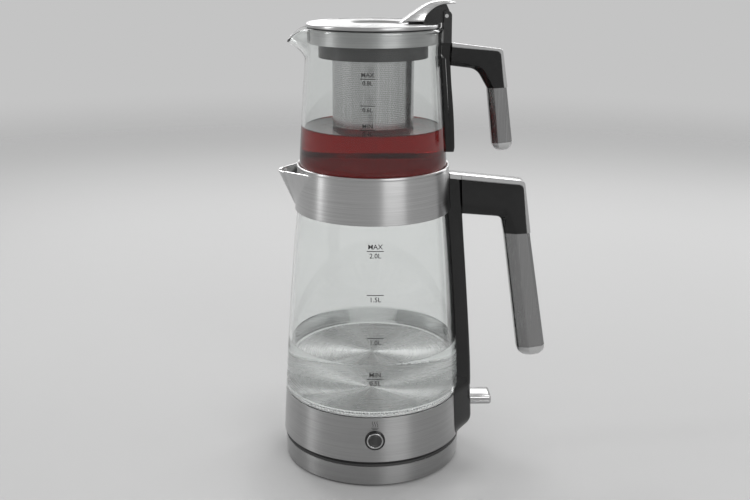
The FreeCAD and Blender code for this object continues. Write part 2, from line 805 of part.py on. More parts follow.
deckShell = lathe("deck_shell", [
    ("post_radius + fit", "ring_top"),
    ("base_inner_radius - deck_skirt_wall", "ring_top"),
    ("base_inner_radius - deck_skirt_wall", "pan_top"),
    ("base_inner_radius", "pan_top"),
    ("base_inner_radius", "ring_top"),
    ("deck_edge_radius", "ring_top"),
    ("deck_edge_radius - deck_edge_step", "deck_top"),
    ("post_radius + fit", "deck_top"),
])
bosses = [rod(f"deck_boss{index}", "boss_radius", "ring_top - pan_top", (across, deep, "pan_top"))
          for index, (across, deep) in enumerate(baseScrewPlaces)]
deckBody = fuse("deck_body", [deckShell] + bosses)
deckBushHole = rod("deck_bush_hole", "cord_bush_radius + fit", "cord_bush_length", bushStart, "Y")
deckScrewHoles = screwHoles("deck_screw_hole", baseScrewPlaces, *baseScrewSizes)
deckHoles = group("deck_holes", [deckScrewHoles, deckBushHole])
keep(cut("deck_cut", deckBody, deckHoles), "base_deck")

bush = rod("bush_bar", "cord_bush_radius", "cord_bush_length", bushStart, "Y")
bushBore = rod("bush_bore", "cord_hole_radius", "cord_bush_length", bushStart, "Y")
keep(cut("bush_cut", bush, bushBore), "cord_bush")

keep(lathe("socket_post", [
    ("pin_well_radius", "post_bottom"),
    ("post_flange_radius", "post_bottom"),
    ("post_flange_radius", "ring_top"),
    ("post_radius", "ring_top"),
    ("post_radius", "post_top - small_edge"),
    ("post_radius - small_edge", "post_top"),
    ("groove_outer_radius", "post_top"),
    ("groove_outer_radius", "post_top - groove_depth"),
    ("groove_inner_radius", "post_top - groove_depth"),
    ("groove_inner_radius", "post_top"),
    ("pin_well_radius", "post_top"),
]), "power_socket")

contactRing = lathe("contact_ring", [
    ("groove_outer_radius - fit - contact_wall", "post_top - groove_depth"),
    ("groove_outer_radius - fit", "post_top - groove_depth"),
    ("groove_outer_radius - fit", "contact_top"),
    ("groove_outer_radius - fit - contact_wall", "contact_top"),
])
contactTube = lathe("contact_tube", [
    ("pin_well_radius - fit - contact_wall", "post_bottom"),
    ("pin_well_radius - fit", "post_bottom"),
    ("pin_well_radius - fit", "contact_top"),
    ("pin_well_radius - fit - contact_wall", "contact_top"),
])
keep(group("contact_group", [contactRing, contactTube]), "socket_contacts")

# Connector under the kettle

keep(lathe("connector_cup", [
    ("connector_inner_radius", "connector_bottom"),
    ("connector_outer_radius", "connector_bottom"),
    ("connector_outer_radius", "flange_bottom"),
    ("connector_outer_radius + connector_flange", "flange_bottom"),
    ("connector_outer_radius + connector_flange", "flange_top"),
    ("connector_outer_radius", "flange_top"),
    ("connector_outer_radius", "roof_top"),
    ("0", "roof_top"),
    ("0", "roof_under"),
    ("connector_inner_radius", "roof_under"),
]), "kettle_connector")

blade = lathe("blade_ring", [
    ("blade_inner_radius", "roof_under - blade_length"),
    ("blade_inner_radius + contact_wall", "roof_under - blade_length"),
    ("blade_inner_radius + contact_wall", "roof_under"),
    ("blade_inner_radius", "roof_under"),
])
centrePin = rod("centre_pin", "contact_pin_radius", "contact_pin_length",
                ("0", "0", "roof_under - contact_pin_length"))
keep(group("blade_group", [blade, centrePin]), "connector_contacts")

# Kettle's underpan, band and heater

upstandOuter = f"({bandRadius('underpan_top + underpan_upstand')} - sheet_steel - fit)"
pillarPlaces = around(3, "pillar_circle", 90)
underpanDisc = lathe("underpan_disc", [
    ("connector_outer_radius + running", "underpan_bottom"),
    ("underpan_low_radius", "underpan_bottom"),
    ("band_low_radius - 0.4", "underpan_top"),
    (upstandOuter, "underpan_top"),
    (upstandOuter, "underpan_top + underpan_upstand"),
    (f"{upstandOuter} - underpan_upstand_wall", "underpan_top + underpan_upstand"),
    (f"{upstandOuter} - underpan_upstand_wall", "underpan_top"),
    ("connector_outer_radius + running", "underpan_top"),
])
pillars = [rod(f"pillar{index}", "pillar_radius", "seat_bottom - underpan_top", (across, deep, "underpan_top"))
           for index, (across, deep) in enumerate(pillarPlaces)]
switchStand = block("switch_stand",
                    ("paddle_inner_reach - running - switch_block_depth", "-switch_block_width / 2",
                     "underpan_top"),
                    ("paddle_inner_reach - switch_stand_setback", "switch_block_width / 2",
                     "switch_block_bottom"))
underpanBody = fuse("underpan_body", [underpanDisc, switchStand] + pillars)
kettleScrewSizes = ("underpan_bottom", "screw_radius", "screw_head_radius", "screw_head_height",
                    "kettle_screw_length")
underpanHoles = screwHoles("underpan_screw_hole", pillarPlaces, *kettleScrewSizes)
keep(cut("underpan_cut", underpanBody, underpanHoles), "kettle_underpan")
keep(screws("kettle_screw", pillarPlaces, *kettleScrewSizes), "kettle_screws")

band = lathe("band_shell", [
    ("band_low_radius - sheet_steel", "underpan_top"),
    ("band_low_radius", "underpan_top"),
    ("band_high_radius", "band_top"),
    ("band_high_radius - sheet_steel", "band_top"),
])
bezelHole = rod("band_bezel_hole", "button_bezel_radius + fit", "tool_reach",
                ("0", "-band_low_radius - tool_reach / 2", "button_level"), "Y")
switchWindow = block("band_switch_window",
                     ("housing_back_reach", "-paddle_width / 2 - 1", "paddle_slot_low - 2.6"),
                     ("band_low_radius + tool_spare", "paddle_width / 2 + 1", "paddle_slot_high + 1"))
keep(cut("band_cut", band, group("band_holes", [bezelHole, switchWindow])), "kettle_band")

keep(lathe("glass_seat_ring", [
    ("glass_seat_inner_radius", "seat_bottom"),
    (f"{bandRadius('seat_bottom')} - sheet_steel - fit", "seat_bottom"),
    (f"{bandRadius('band_top')} - sheet_steel - fit", "band_top"),
    ("plate_radius + fit", "band_top"),
    ("plate_radius + fit", "seat_shelf_top"),
    ("glass_seat_inner_radius", "seat_shelf_top"),
]), "glass_seat")

keep(lathe("heating_dish", [
    ("0", "plate_under"),
    ("plate_radius - 1.4", "plate_under"),
    ("plate_radius - 1.4", "seat_shelf_top"),
    ("plate_radius", "seat_shelf_top"),
    ("plate_radius", "plate_top"),
    ("0", "plate_top"),
]), "heating_plate")

keep(lathe("lower_gasket_ring", [
    ("plate_radius + fit", "band_top"),
    ("band_high_radius - glass_wall - 0.2", "band_top"),
    ("band_high_radius - glass_wall - 0.5", "gasket_top"),
    ("plate_radius + fit", "gasket_top"),
]), "lower_gasket")

coil = document.addObject("Part::Torus", "element_ring")
coil.setExpression("Radius1", bound("element_circle"))
coil.setExpression("Radius2", bound("element_radius"))
coil.setExpression("Angle3", bound("element_sweep"))
coil.setExpression("Placement.Base.z", bound("element_level"))
pinPlaces = [("element_circle * cos(0)", "element_circle * sin(0)"),
             ("element_circle * cos(element_sweep)", "element_circle * sin(element_sweep)")]
elementPins = [rod(f"element_pin{index}", "element_radius * 0.6", "element_pin_length",
                   (across, deep, "element_level - element_pin_length"))
               for index, (across, deep) in enumerate(pinPlaces)]
keep(fuse("element_fused", [coil] + elementPins), "heating_element")

keep(lathe("thermostat_body", [
    ("0", "thermostat_bottom"),
    ("thermostat_radius", "thermostat_bottom"),
    ("thermostat_radius", "thermostat_shoulder"),
    ("thermostat_pad_radius", "thermostat_shoulder"),
    ("thermostat_pad_radius", "plate_under"),
    ("0", "plate_under"),
]), "thermostat_unit")

# Keep-warm button

bezelFront = f"({bandRadius('button_level')} + button_proud)"
bezelStart = ("0", f"-{bezelFront}", "button_level")
ringOuter = "(button_bezel_radius - button_bezel_wall - fit)"
capRadius = f"({ringOuter} - button_ring_wall - running)"
bezelBar = rod("bezel_bar", "button_bezel_radius", "button_depth", bezelStart, "Y")
bezelBore = rod("bezel_bore", "button_bezel_radius - button_bezel_wall", "button_depth", bezelStart, "Y")
keep(cut("bezel_cut", bezelBar, bezelBore), "button_bezel")
ringStart = ("0", f"-({bezelFront} + button_ring_proud)", "button_level")
trimBar = rod("button_ring_bar", ringOuter, "button_depth + button_ring_proud", ringStart, "Y")
trimBore = rod("button_ring_bore", f"{capRadius} + running", "button_depth + button_ring_proud", ringStart,
               "Y")
keep(cut("button_ring_cut", trimBar, trimBore), "button_ring")
tactBack = "board_place + board_thickness"
tactFront = f"{tactBack} + tact_height"
capBack = f"{tactFront} + button_travel + running"
capFront = f"({bezelFront} + button_cap_proud)"
keep(rod("button_cap_bar", capRadius, f"{capFront} - ({capBack})", ("0", f"-{capFront}", "button_level"), "Y"),
     "warm_button")
board = block("board_plate",
              ("-board_width / 2", f"-({tactBack})", "underpan_top"),
              ("board_width / 2", "-board_place", "board_top"))
tact = block("board_tact",
             ("-tact_width / 2", f"-({tactFront})", "button_level - tact_width / 2"),
             ("tact_width / 2", f"-({tactBack})", "button_level + tact_width / 2"))
keep(fuse("board_fused", [board, tact]), "warm_switch_board")

# Kettle's glass and collar

keep(lathe("glass_wall_turned", [
    ("band_high_radius - glass_wall", "band_top"),
    ("band_high_radius", "band_top", "out", "glass_bow"),
    ("glass_top_radius", "glass_top"),
    ("glass_top_radius - glass_wall", "glass_top", "in", "glass_bow"),
]), "kettle_glass")

collarInnerTop = f"({collarRadius('rim_bottom')} - sheet_steel)"
collarShell = lathe("collar_shell", [
    ("collar_low_radius - sheet_steel", "collar_level"),
    ("collar_low_radius", "collar_level"),
    ("collar_high_radius", "rim_bottom"),
    ("collar_high_radius - running", "collar_top - edge_small"),
    ("collar_high_radius - edge_large", "collar_top"),
    ("rim_inner_radius + running", "collar_top"),
    ("rim_inner_radius", "collar_top - 0.5"),
    ("rim_inner_radius", "rim_bottom"),
    (collarInnerTop, "rim_bottom - edge_small"),
])


# A slice of a round bar on the spouts' side, from a level up, half an angle to each side
def barSlice(title, radius, level, height, halfAngle):
    part = document.addObject("Part::Cylinder", title)
    part.setExpression("Radius", bound(radius))
    part.setExpression("Height", bound(height))
    part.setExpression("Angle", bound(f"2 * ({halfAngle})"))
    part.Placement = FreeCAD.Placement(Vector(0, 0, 0), FreeCAD.Rotation(Vector(0, 0, 1), 180))
    part.setExpression("Placement.Rotation.Angle", bound(f"180 - ({halfAngle})"))
    part.setExpression("Placement.Base.z", bound(level))
    return part


spoutWindow = barSlice("collar_spout_window", "collar_low_radius + tool_spare", "spout_window_low",
                       "spout_window_high - spout_window_low", "spout_window_angle")
tubeHole = rod("collar_tube_hole", "tube_radius + fit", "tool_reach",
               ("spine_inner_reach", "0", "tube_top_level"), "X")
spineScrewPlaces = [("-spine_screw_spread / 2", "spine_screw_level"),
                    ("spine_screw_spread / 2", "spine_screw_level")]
collarScrewHoles = [rod(f"collar_screw_hole{index}", "spine_screw_radius + fit", "tool_reach",
                        ("spine_inner_reach", deep, up), "X")
                    for index, (deep, up) in enumerate(spineScrewPlaces)]
collarHoles = group("collar_holes", [spoutWindow, tubeHole] + collarScrewHoles)
keep(cut("collar_cut", collarShell, collarHoles), "kettle_collar")

gasketFoot = "(collar_level + 0.4)"
keep(lathe("upper_gasket_ring", [
    ("glass_top_radius + fit", "glass_top"),
    (f"glass_top_radius + fit + (glass_top - {gasketFoot}) * glass_top_slope", gasketFoot),
    (f"{collarRadius(gasketFoot)} - sheet_steel - fit", gasketFoot),
    (f"{collarRadius('gasket_cap_top')} - sheet_steel - fit", "gasket_cap_top"),
    ("glass_top_radius - glass_wall", "gasket_cap_top"),
    ("glass_top_radius - glass_wall", "glass_top"),
]), "upper_gasket")

keep(lathe("ledge_ring", [
    ("ledge_inner_radius", "ledge_level"),
    (f"{collarRadius('ledge_level')} - sheet_steel - fit", "ledge_level"),
    (f"{collarRadius('ledge_top')} - sheet_steel - fit", "ledge_top"),
    ("ledge_inner_radius", "ledge_top"),
]), "seat_ledge")

seatDisc = lathe("seat_ring_disc", [
    ("ledge_inner_radius", "seat_ring_bottom"),
    ("seat_ring_outer_radius - edge_large", "seat_ring_bottom"),
    ("seat_ring_outer_radius", "seat_ring_bottom + 1"),
    ("seat_ring_outer_radius", "seat_ring_top - edge_medium"),
    ("seat_ring_outer_radius - edge_medium", "seat_ring_top"),
    ("ledge_inner_radius", "seat_ring_top"),
])
steamPlaces = around(int(number("steam_hole_count")), "steam_hole_circle")
steamHoles = [rod(f"steam_hole{index}", "steam_hole_radius", "seat_ring_thickness",
                  (across, deep, "seat_ring_bottom"))
              for index, (across, deep) in enumerate(steamPlaces)]
keep(cut("seat_ring_cut", seatDisc, group("steam_holes", steamHoles)), "seat_ring")

filterOuterLow = f"({collarRadius('filter_bottom')} - sheet_steel - fit)"
filterOuterHigh = f"({collarRadius('ledge_level')} - sheet_steel - fit)"
filterBand = lathe("filter_band", [
    (f"{filterOuterLow} - filter_wall", "filter_bottom"),
    (filterOuterLow, "filter_bottom"),
    (filterOuterHigh, "ledge_level"),
    (f"{filterOuterHigh} - filter_wall", "ledge_level"),
])
filterWedge = barSlice("filter_wedge", "collar_low_radius + tool_spare", "collar_level", "collar_height",
                       "spout_window_angle + filter_margin_angle")
filterPlate = common("filter_plate", filterBand, filterWedge)
filterRows = 4
filterColumns = 5
filterHoles = []
for line in range(filterRows):
    lowest = "spout_window_low + filter_hole_margin"
    highest = "ledge_level - filter_hole_margin"
    level = f"{lowest} + {line} * ({highest} - ({lowest})) / {filterRows - 1}"
    for column in range(filterColumns):
        offset = f"{column - (filterColumns - 1) / 2} * filter_hole_pitch"
        filterHoles.append(rod(f"filter_hole{line}_{column}", "filter_hole_radius", "tool_reach",
                               ("-collar_low_radius - tool_reach / 2", offset, level), "X"))
keep(cut("filter_cut", filterPlate, group("filter_holes", filterHoles)), "spout_filter")

# The kettle's outer form, a hair larger, trims what is fixed to the outside of it
kettleForm = lathe("kettle_form", [
    ("0", "underpan_top - tool_spare"),
    ("band_low_radius + fit", "underpan_top - tool_spare"),
    ("band_low_radius + fit", "underpan_top"),
    ("band_high_radius + fit", "band_top", "out", "glass_bow"),
    ("glass_top_radius + fit + (collar_low_radius - glass_top_radius) * 0.3", "collar_level"),
    ("collar_low_radius + fit", "collar_level"),
    ("collar_high_radius + fit", "rim_bottom"),
    ("collar_high_radius + fit", "collar_top + tool_spare"),
    ("0", "collar_top + tool_spare"),
])


# A wedge of flat faces: two folded walls and a narrow nose between them, from the foot to the tip
def wedge(shift):
    angle = math.radians(number("spout_mouth_angle"))
    mouthRadius = number("collar_high_radius")
    noseHalf = number("spout_nose_width / 2")
    foot = Vector(-number(collarRadius("spout_foot_level")), 0, number("spout_foot_level"))
    tips = [Vector(-number("spout_tip_reach"), side, number("spout_tip_level"))
            for side in (noseHalf, -noseHalf)]
    mouth = [Vector(-mouthRadius * math.cos(angle), side * mouthRadius * math.sin(angle),
                    number("spout_mouth_level")) for side in (1, -1)]
    corners = [corner + shift for corner in [foot] + tips + mouth]
    faces = []
    for order in ((0, 1, 3), (0, 4, 2), (0, 2, 1), (0, 3, 4), (1, 2, 4), (1, 4, 3)):
        ring = [corners[place] for place in order]
        faces.append(Part.Face(Part.makePolygon(ring + [ring[0]])))
    solid = Part.makeSolid(Part.makeShell(faces))
    if solid.Volume < 0:
        solid.reverse()
    normal = (mouth[0] - foot).cross(tips[0] - foot).normalize()
    return solid, normal


spoutSolid, sideNormal = wedge(Vector(0, 0, 0))
drift = Vector(sideNormal.x, 0, sideNormal.z)
if drift.x > 0:
    drift = drift * -1
hollowShift = drift * (-number("spout_wall") / drift.Length ** 2)
hollowSolid, hollowNormal = wedge(hollowShift)
spoutShell = document.addObject("Part::Feature", "spout_shell")
spoutShell.Shape = spoutSolid.cut(hollowSolid)
keep(cut("spout_cut", spoutShell, kettleForm), "kettle_spout")

# Kettle's spine

spineOutline = [
    ("spine_inner_reach", "band_top"),
    ("spine_foot_reach", "band_top"),
    ("spine_low_reach", "spine_low_level"),
    ("spine_mid_reach", "spine_mid_level"),
    ("spine_arm_reach", "arm_under_level"),
    ("spine_top_reach", "arm_top_level"),
    ("spine_inner_reach", "spine_top_inner_level"),
]
spineSlab = slab("spine_slab", spineOutline, "spine_width")
spineTaper = document.addObject("Part::Wedge", "spine_taper")
spineTaper.Placement = FreeCAD.Placement(Vector(0, 0, 0), FreeCAD.Rotation(Vector(1, 0, 0), 90))
taperSizes = {
    "Xmin": "spine_inner_reach - tool_spare", "Xmax": "spine_foot_reach + tool_spare",
    "X2min": "spine_inner_reach - tool_spare", "X2max": "spine_foot_reach + tool_spare",
    "Ymin": "band_top", "Ymax": "spine_top_inner_level + 1",
    "Zmin": "-spine_width / 2", "Zmax": "spine_width / 2",
    "Z2min": "-spine_top_width / 2", "Z2max": "spine_top_width / 2",
}
for side, formula in taperSizes.items():
    spineTaper.setExpression(side, bound(formula))
spineBlank = common("spine_blank", spineSlab, spineTaper)
channel = slab("spine_channel", [
    ("spine_inner_reach - tool_spare", "band_top"),
    ("tube_foot_reach + tube_radius + channel_wall", "band_top"),
    ("tube_top_reach + tube_radius + channel_wall", "tube_top_level + tube_radius + channel_wall"),
    ("spine_inner_reach - tool_spare", "tube_top_level + tube_radius + channel_wall"),
], "channel_width")
spineScrewHoles = [rod(f"spine_screw_hole{index}", "spine_screw_radius + fit", "spine_screw_length + 1",
                       (f"{collarRadius('spine_screw_level')} - sheet_steel", deep, up), "X")
                   for index, (deep, up) in enumerate(spineScrewPlaces)]
spineTools = fuse("spine_tools", [kettleForm, channel] + spineScrewHoles)
keep(cut("spine_cut", spineBlank, spineTools), "kettle_spine")

screwSolids = []
for index, (deep, up) in enumerate(spineScrewPlaces):
    headFront = f"({collarRadius('spine_screw_level')} - sheet_steel - fit)"
    head = rod(f"spine_screw_head{index}", "spine_screw_head", "spine_screw_head_height",
               (f"{headFront} - spine_screw_head_height - spine_screw_gap", deep, up), "X")
    shank = rod(f"spine_screw_shank{index}", "spine_screw_radius", "spine_screw_length",
                (f"{headFront} - spine_screw_gap - 0.1", deep, up), "X")
    screwSolids.append(fuse(f"spine_screw{index}", [head, shank]))
keep(group("spine_screw_group", screwSolids), "spine_screws")


# The steam tube runs out of the collar, turns down and follows the spine to the switch housing
def tubePath():
    start = Vector(number("tube_inlet_reach"), 0, number("tube_top_level"))
    corner = Vector(number("tube_top_reach"), 0, number("tube_top_level"))
    finish = Vector(number("tube_foot_reach"), 0, number("tube_foot_level"))
    ahead = (corner - start).normalize()
    down = (finish - corner).normalize()
    turn = ahead.getAngle(down)
    setback = number("tube_bend") * math.tan(turn / 2)
    first = corner - ahead * setback
    last = corner + down * setback
    inward = (down - ahead).normalize()
    centre = corner + inward * (number("tube_bend") / math.cos(turn / 2))
    middle = centre + (corner - centre).normalize() * number("tube_bend")
    edges = [Part.LineSegment(start, first).toShape(), Part.Arc(first, middle, last).toShape(),
             Part.LineSegment(last, finish).toShape()]
    return Part.Wire(edges), start, ahead


def pipe(radius):
    path, start, ahead = tubePath()
    ring = Part.Wire(Part.makeCircle(radius, start, ahead))
    return path.makePipeShell([ring], True, False)


steamTube = document.addObject("Part::Feature", "steam_tube_pipe")
steamTube.Shape = pipe(number("tube_radius")).cut(pipe(number("tube_radius - tube_wall")))
keep(steamTube, "steam_tube")


# A bent handle: an arm with a tongue inside a sheet steel grip that ends in a domed cap, and a bright trim.
# The arm's outline starts at the foot of its seam and goes over its top, its corner and the grip's end.
def handle(prefix, names, armOutline, width, bevel, trimWidth):
    arm = slab(prefix + "_arm_slab", armOutline, width)
    half = number(width) / 2
    topLine = [Vector(number(spot[0]), 0, number(spot[1])) for spot in armOutline[1:4]]

    # Picks the long edges on both sides of the arm that follow its top and its outer face
    def onTop(edge):
        middle = edge.CenterOfMass
        if abs(abs(middle.y) - half) > 1e-4:
            return False
        flat = Vector(middle.x, 0, middle.z)
        return any(flat.distanceToLine(first, second - first) < 1e-4 and edge.Length > 8
                   for first, second in zip(topLine, topLine[1:]))

    dress(arm, "Chamfer", bevel, onTop)
    tongue = slab(prefix + "_tongue", names["tongue"], f"{width} - 2 * grip_sheet - 2 * fit")
    keep(fuse(prefix + "_arm_fused", [arm, tongue]), names["arm"])

    sleeve = slab(prefix + "_sleeve", names["sleeve"], width)
    hollow = slab(prefix + "_sleeve_hollow", names["hollow"], f"{width} - 2 * grip_sheet")
    keep(cut(prefix + "_sleeve_cut", sleeve, hollow), names["grip"])

    cap = slab(prefix + "_cap_slab", names["dome"], width)
    dress(cap, "Fillet", "grip_sheet * 2", lambda edge: len(edge.Vertexes) == 2
          and abs(abs(edge.CenterOfMass.y) - half) < 1e-4 and edge.Curve.TypeId == "Part::GeomCircle")
    keep(cap, names["cap"])

    trim = slab(prefix + "_trim_slab", names["trimOutline"], trimWidth)
    keep(trim, names["trim"])


# A point between two corners of an outline, at a share of the way, moved across and up
def between(first, second, share, across="0", up="0"):
    return tuple(f"({one}) + (({two}) - ({one})) * {share} + {shift}"
                 for one, two, shift in zip(first, second, (across, up)))


def gripOutlines(outerTop, innerTop, outerEnd, innerEnd, domeRadius):
    wall = "grip_sheet"
    hollow = [between(outerTop, outerEnd, "0", f"-{wall}", "1"),
              between(outerTop, outerEnd, "1", f"-{wall}", "-1"),
              between(innerTop, innerEnd, "1", wall, "-1"),
              between(innerTop, innerEnd, "0", wall, "1")]
    tongue = [between(outerTop, outerEnd, "0", f"-{wall} - fit * 2", "1"),
              between(outerTop, outerEnd, "0.5", f"-{wall} - fit * 2"),
              between(innerTop, innerEnd, "0.5", f"{wall} + fit * 2"),
              between(innerTop, innerEnd, "0", f"{wall} + fit * 2", "1")]
    return {
        "sleeve": [innerTop, outerTop, outerEnd, innerEnd],
        "hollow": hollow,
        "tongue": tongue,
        "dome": [innerEnd, outerEnd + ("out", domeRadius)],
    }


# The trim lies on the arm from its start to the corner and on down the outer face
def trimOutline(start, corner, outer):
    rise = "trim_thickness"
    return [start, corner, outer, between(outer, outer, "0", rise), between(corner, corner, "0", rise, rise),
            between(start, start, "0", "0", rise)]


gripOuterTop = ("grip_top_outer_reach", "grip_top_outer_level")
gripInnerTop = ("grip_top_inner_reach", "grip_top_inner_level")
gripOuterEnd = ("grip_end_outer_reach", "grip_end_outer_level")
gripInnerEnd = ("grip_end_inner_reach", "grip_end_inner_level")
armSeamLow = ("spine_arm_reach", "arm_under_level")
armSeamHigh = ("spine_top_reach", "arm_top_level")
armCorner = ("corner_reach", "corner_level")
kettleNames = gripOutlines(gripOuterTop, gripInnerTop, gripOuterEnd, gripInnerEnd, "grip_dome_radius")
kettleNames.update(arm="kettle_arm", grip="kettle_grip", cap="kettle_grip_cap", trim="kettle_arm_trim",
                   trimOutline=trimOutline(armSeamHigh, armCorner, gripOuterTop))
handle("kettle", kettleNames,
       [armSeamLow, armSeamHigh, armCorner, gripOuterTop, gripInnerTop, ("elbow_reach", "elbow_level")],
       "arm_width", "arm_edge", "trim_width")

spineTopSlope = "((spine_top_inner_level - arm_top_level) / (spine_top_reach - spine_inner_reach))"
spineTrimInner = ("collar_high_radius + small_edge",
                  f"arm_top_level + (spine_top_reach - collar_high_radius - small_edge) * {spineTopSlope}")
keep(slab("spine_trim_slab", [
    spineTrimInner,
    armSeamHigh,
    between(armSeamHigh, armSeamHigh, "0", "0", "trim_thickness"),
    between(spineTrimInner, spineTrimInner, "0", "0", "trim_thickness"),
], "trim_width"), "kettle_spine_trim")

# Power switch at the foot of the spine

housingSlab = slab("housing_slab", [
    ("housing_back_reach", "housing_bottom_level"),
    ("housing_low_reach - housing_corner", "housing_bottom_level", "out", "housing_corner"),
    ("housing_low_reach", "housing_bottom_level + housing_corner"),
    ("spine_foot_reach", "band_top"),
    ("housing_back_reach", "band_top"),
], "housing_width")
housingPlan = slab("housing_plan", [
    ("housing_back_reach - tool_spare", "-housing_width / 2"),
    ("housing_back_reach + housing_side_depth", "-housing_width / 2"),
    ("housing_low_reach + housing_face_spare", "-housing_face_width / 2"),
    ("housing_low_reach + housing_face_spare", "housing_face_width / 2"),
    ("housing_back_reach + housing_side_depth", "housing_width / 2"),
    ("housing_back_reach - tool_spare", "housing_width / 2"),
], "2 * band_top + 2 * tool_spare", "XY_Plane")
housingBlank = common("housing_blank", housingSlab, housingPlan)
paddleSlot = block("paddle_slot",
                   ("housing_back_reach", "-paddle_width / 2 - paddle_side_play", "paddle_slot_low"),
                   ("housing_low_reach + tool_spare", "paddle_width / 2 + paddle_side_play", "paddle_slot_high"))
pinStart = ("paddle_pivot_reach", "-paddle_pin_length / 2", "paddle_level")
housingPinHole = rod("housing_pin_hole", "paddle_pin_radius + fit", "paddle_pin_length", pinStart, "Y")
tubeWell = rod("housing_tube_well", "tube_radius + 0.6", "band_top - paddle_slot_high + 1",
               ("tube_foot_reach", "0", "paddle_slot_high - 0.5"))
housingTools = fuse("housing_tools", [kettleForm, paddleSlot, housingPinHole, tubeWell])
keep(cut("housing_cut", housingBlank, housingTools), "switch_housing")
keep(rod("paddle_pin_bar", "paddle_pin_radius", "paddle_pin_length", pinStart, "Y"), "paddle_pin")

paddleSlab = slab("paddle_slab", [
    ("paddle_inner_reach", "paddle_under + 1.2"),
    ("paddle_inner_reach + 2", "paddle_under"),
    ("paddle_outer_reach - paddle_edge", "paddle_under"),
    ("paddle_outer_reach", "paddle_under + paddle_edge"),
    ("paddle_outer_reach", "paddle_over - paddle_edge"),
    ("paddle_outer_reach - paddle_edge", "paddle_over"),
    ("paddle_inner_reach", "paddle_over"),
], "paddle_width")
paddleBore = rod("paddle_bore", "paddle_pin_radius + pin_play", "paddle_pin_length", pinStart, "Y")
keep(cut("paddle_cut", paddleSlab, paddleBore), "power_paddle")

blockOuter = "(paddle_inner_reach - running - 1.2)"
keep(block("switch_block_box",
           (f"{blockOuter} - switch_block_depth + 2", "-switch_block_width / 2", "switch_block_bottom"),
           (blockOuter, "switch_block_width / 2", "paddle_slot_high - 1")), "steam_switch")

# Teapot's glass

# The wall, the floor and the pulled lip are one blown piece, given as three solids that meet
wallTurned = lathe("teapot_wall_turned", [
    ("teapot_low_radius", "teapot_side", "out", "teapot_bow"),
    ("teapot_neck_radius", "teapot_neck_level"),
    ("teapot_neck_radius", "bead_bottom"),
    ("teapot_neck_radius + teapot_bead", "bead_middle"),
    ("teapot_neck_radius + teapot_bead - 0.4", "teapot_rim_level"),
    ("teapot_inner_neck", "teapot_rim_level"),
    ("teapot_inner_neck", "teapot_neck_level", "in", "teapot_bow"),
    ("teapot_inner_low", "teapot_side"),
])
keep(lathe("teapot_floor_turned", [
    ("0", "teapot_bottom"),
    ("teapot_low_radius - teapot_corner_radius", "teapot_bottom", "out", "teapot_corner_radius"),
    ("teapot_low_radius", "teapot_side"),
    ("teapot_inner_low", "teapot_side", "out", "teapot_corner_radius - 1"),
    ("teapot_inner_low - teapot_corner_radius + 2", "teapot_bottom + teapot_floor"),
    ("0", "teapot_bottom + teapot_floor"),
]), "teapot_floor")
teapotForm = lathe("teapot_form", [
    ("0", "teapot_bottom - tool_spare"),
    ("teapot_low_radius + fit", "teapot_bottom - tool_spare"),
    ("teapot_low_radius + fit", "teapot_side", "out", "teapot_bow"),
    ("teapot_neck_radius + fit", "teapot_neck_level"),
    ("teapot_neck_radius + fit", "bead_bottom"),
    ("teapot_neck_radius + teapot_bead + fit", "bead_middle"),
    ("teapot_neck_radius + teapot_bead + fit", "teapot_rim_level + tool_reach"),
    ("0", "teapot_rim_level + tool_reach"),
])
teapotInside = lathe("teapot_inside", [
    ("0", "teapot_neck_level"),
    ("teapot_inner_neck", "teapot_neck_level"),
    ("teapot_inner_neck", "teapot_rim_level + tool_spare"),
    ("0", "teapot_rim_level + tool_spare"),
])


# The pulled lip is a cone from the neck to the tip, and a smaller cone hollows it
def lipCone(shrink):
    rootRadius = number("lip_root_radius") - shrink
    tipRadius = number("lip_tip_radius") - shrink * 0.6
    start = Vector(-number("lip_root_reach"), 0, number("lip_root_level"))
    finish = Vector(-number("lip_reach") - shrink * 0.6, 0, number("lip_tip_level"))
    along = (finish - start).normalize()
    return Part.makeLoft([Part.Wire(Part.makeCircle(rootRadius, start, along)),
                          Part.Wire(Part.makeCircle(tipRadius, finish, along))], True, True)


# The rim of the lip falls from the rim of the neck to the tip
def lipTrim():
    rim = number("teapot_rim_level")
    neck = number("teapot_inner_neck")
    reach = number("lip_reach + lip_trim_past")
    tip = number("lip_tip_level - lip_edge")
    fall = (rim - tip) / (number("lip_reach") - neck)
    inside = number("lip_trim_inset") - neck
    side = -number("lip_trim_half")
    top = rim + number("lip_trim_height")
    outline = [Vector(inside, side, rim), Vector(-neck, side, rim),
               Vector(-reach, side, rim - fall * (reach - neck)),
               Vector(-reach, side, top), Vector(inside, side, top)]
    face = Part.Face(Part.makePolygon(outline + [outline[0]]))
    return face.extrude(Vector(0, -2 * side, 0))


lipSolid = document.addObject("Part::Feature", "teapot_lip_cone")
lipSolid.Shape = lipCone(0.0).cut(lipTrim())
lipChannel = document.addObject("Part::Feature", "teapot_lip_channel")
lipChannel.Shape = lipCone(number("lip_wall"))
keep(cut("teapot_wall_cut", wallTurned, fuse("teapot_wall_tools", [teapotInside, lipChannel])), "teapot_glass")
keep(cut("teapot_lip_cut", lipSolid, fuse("teapot_lip_tools", [teapotForm, lipChannel])), "teapot_lip")

# Infuser

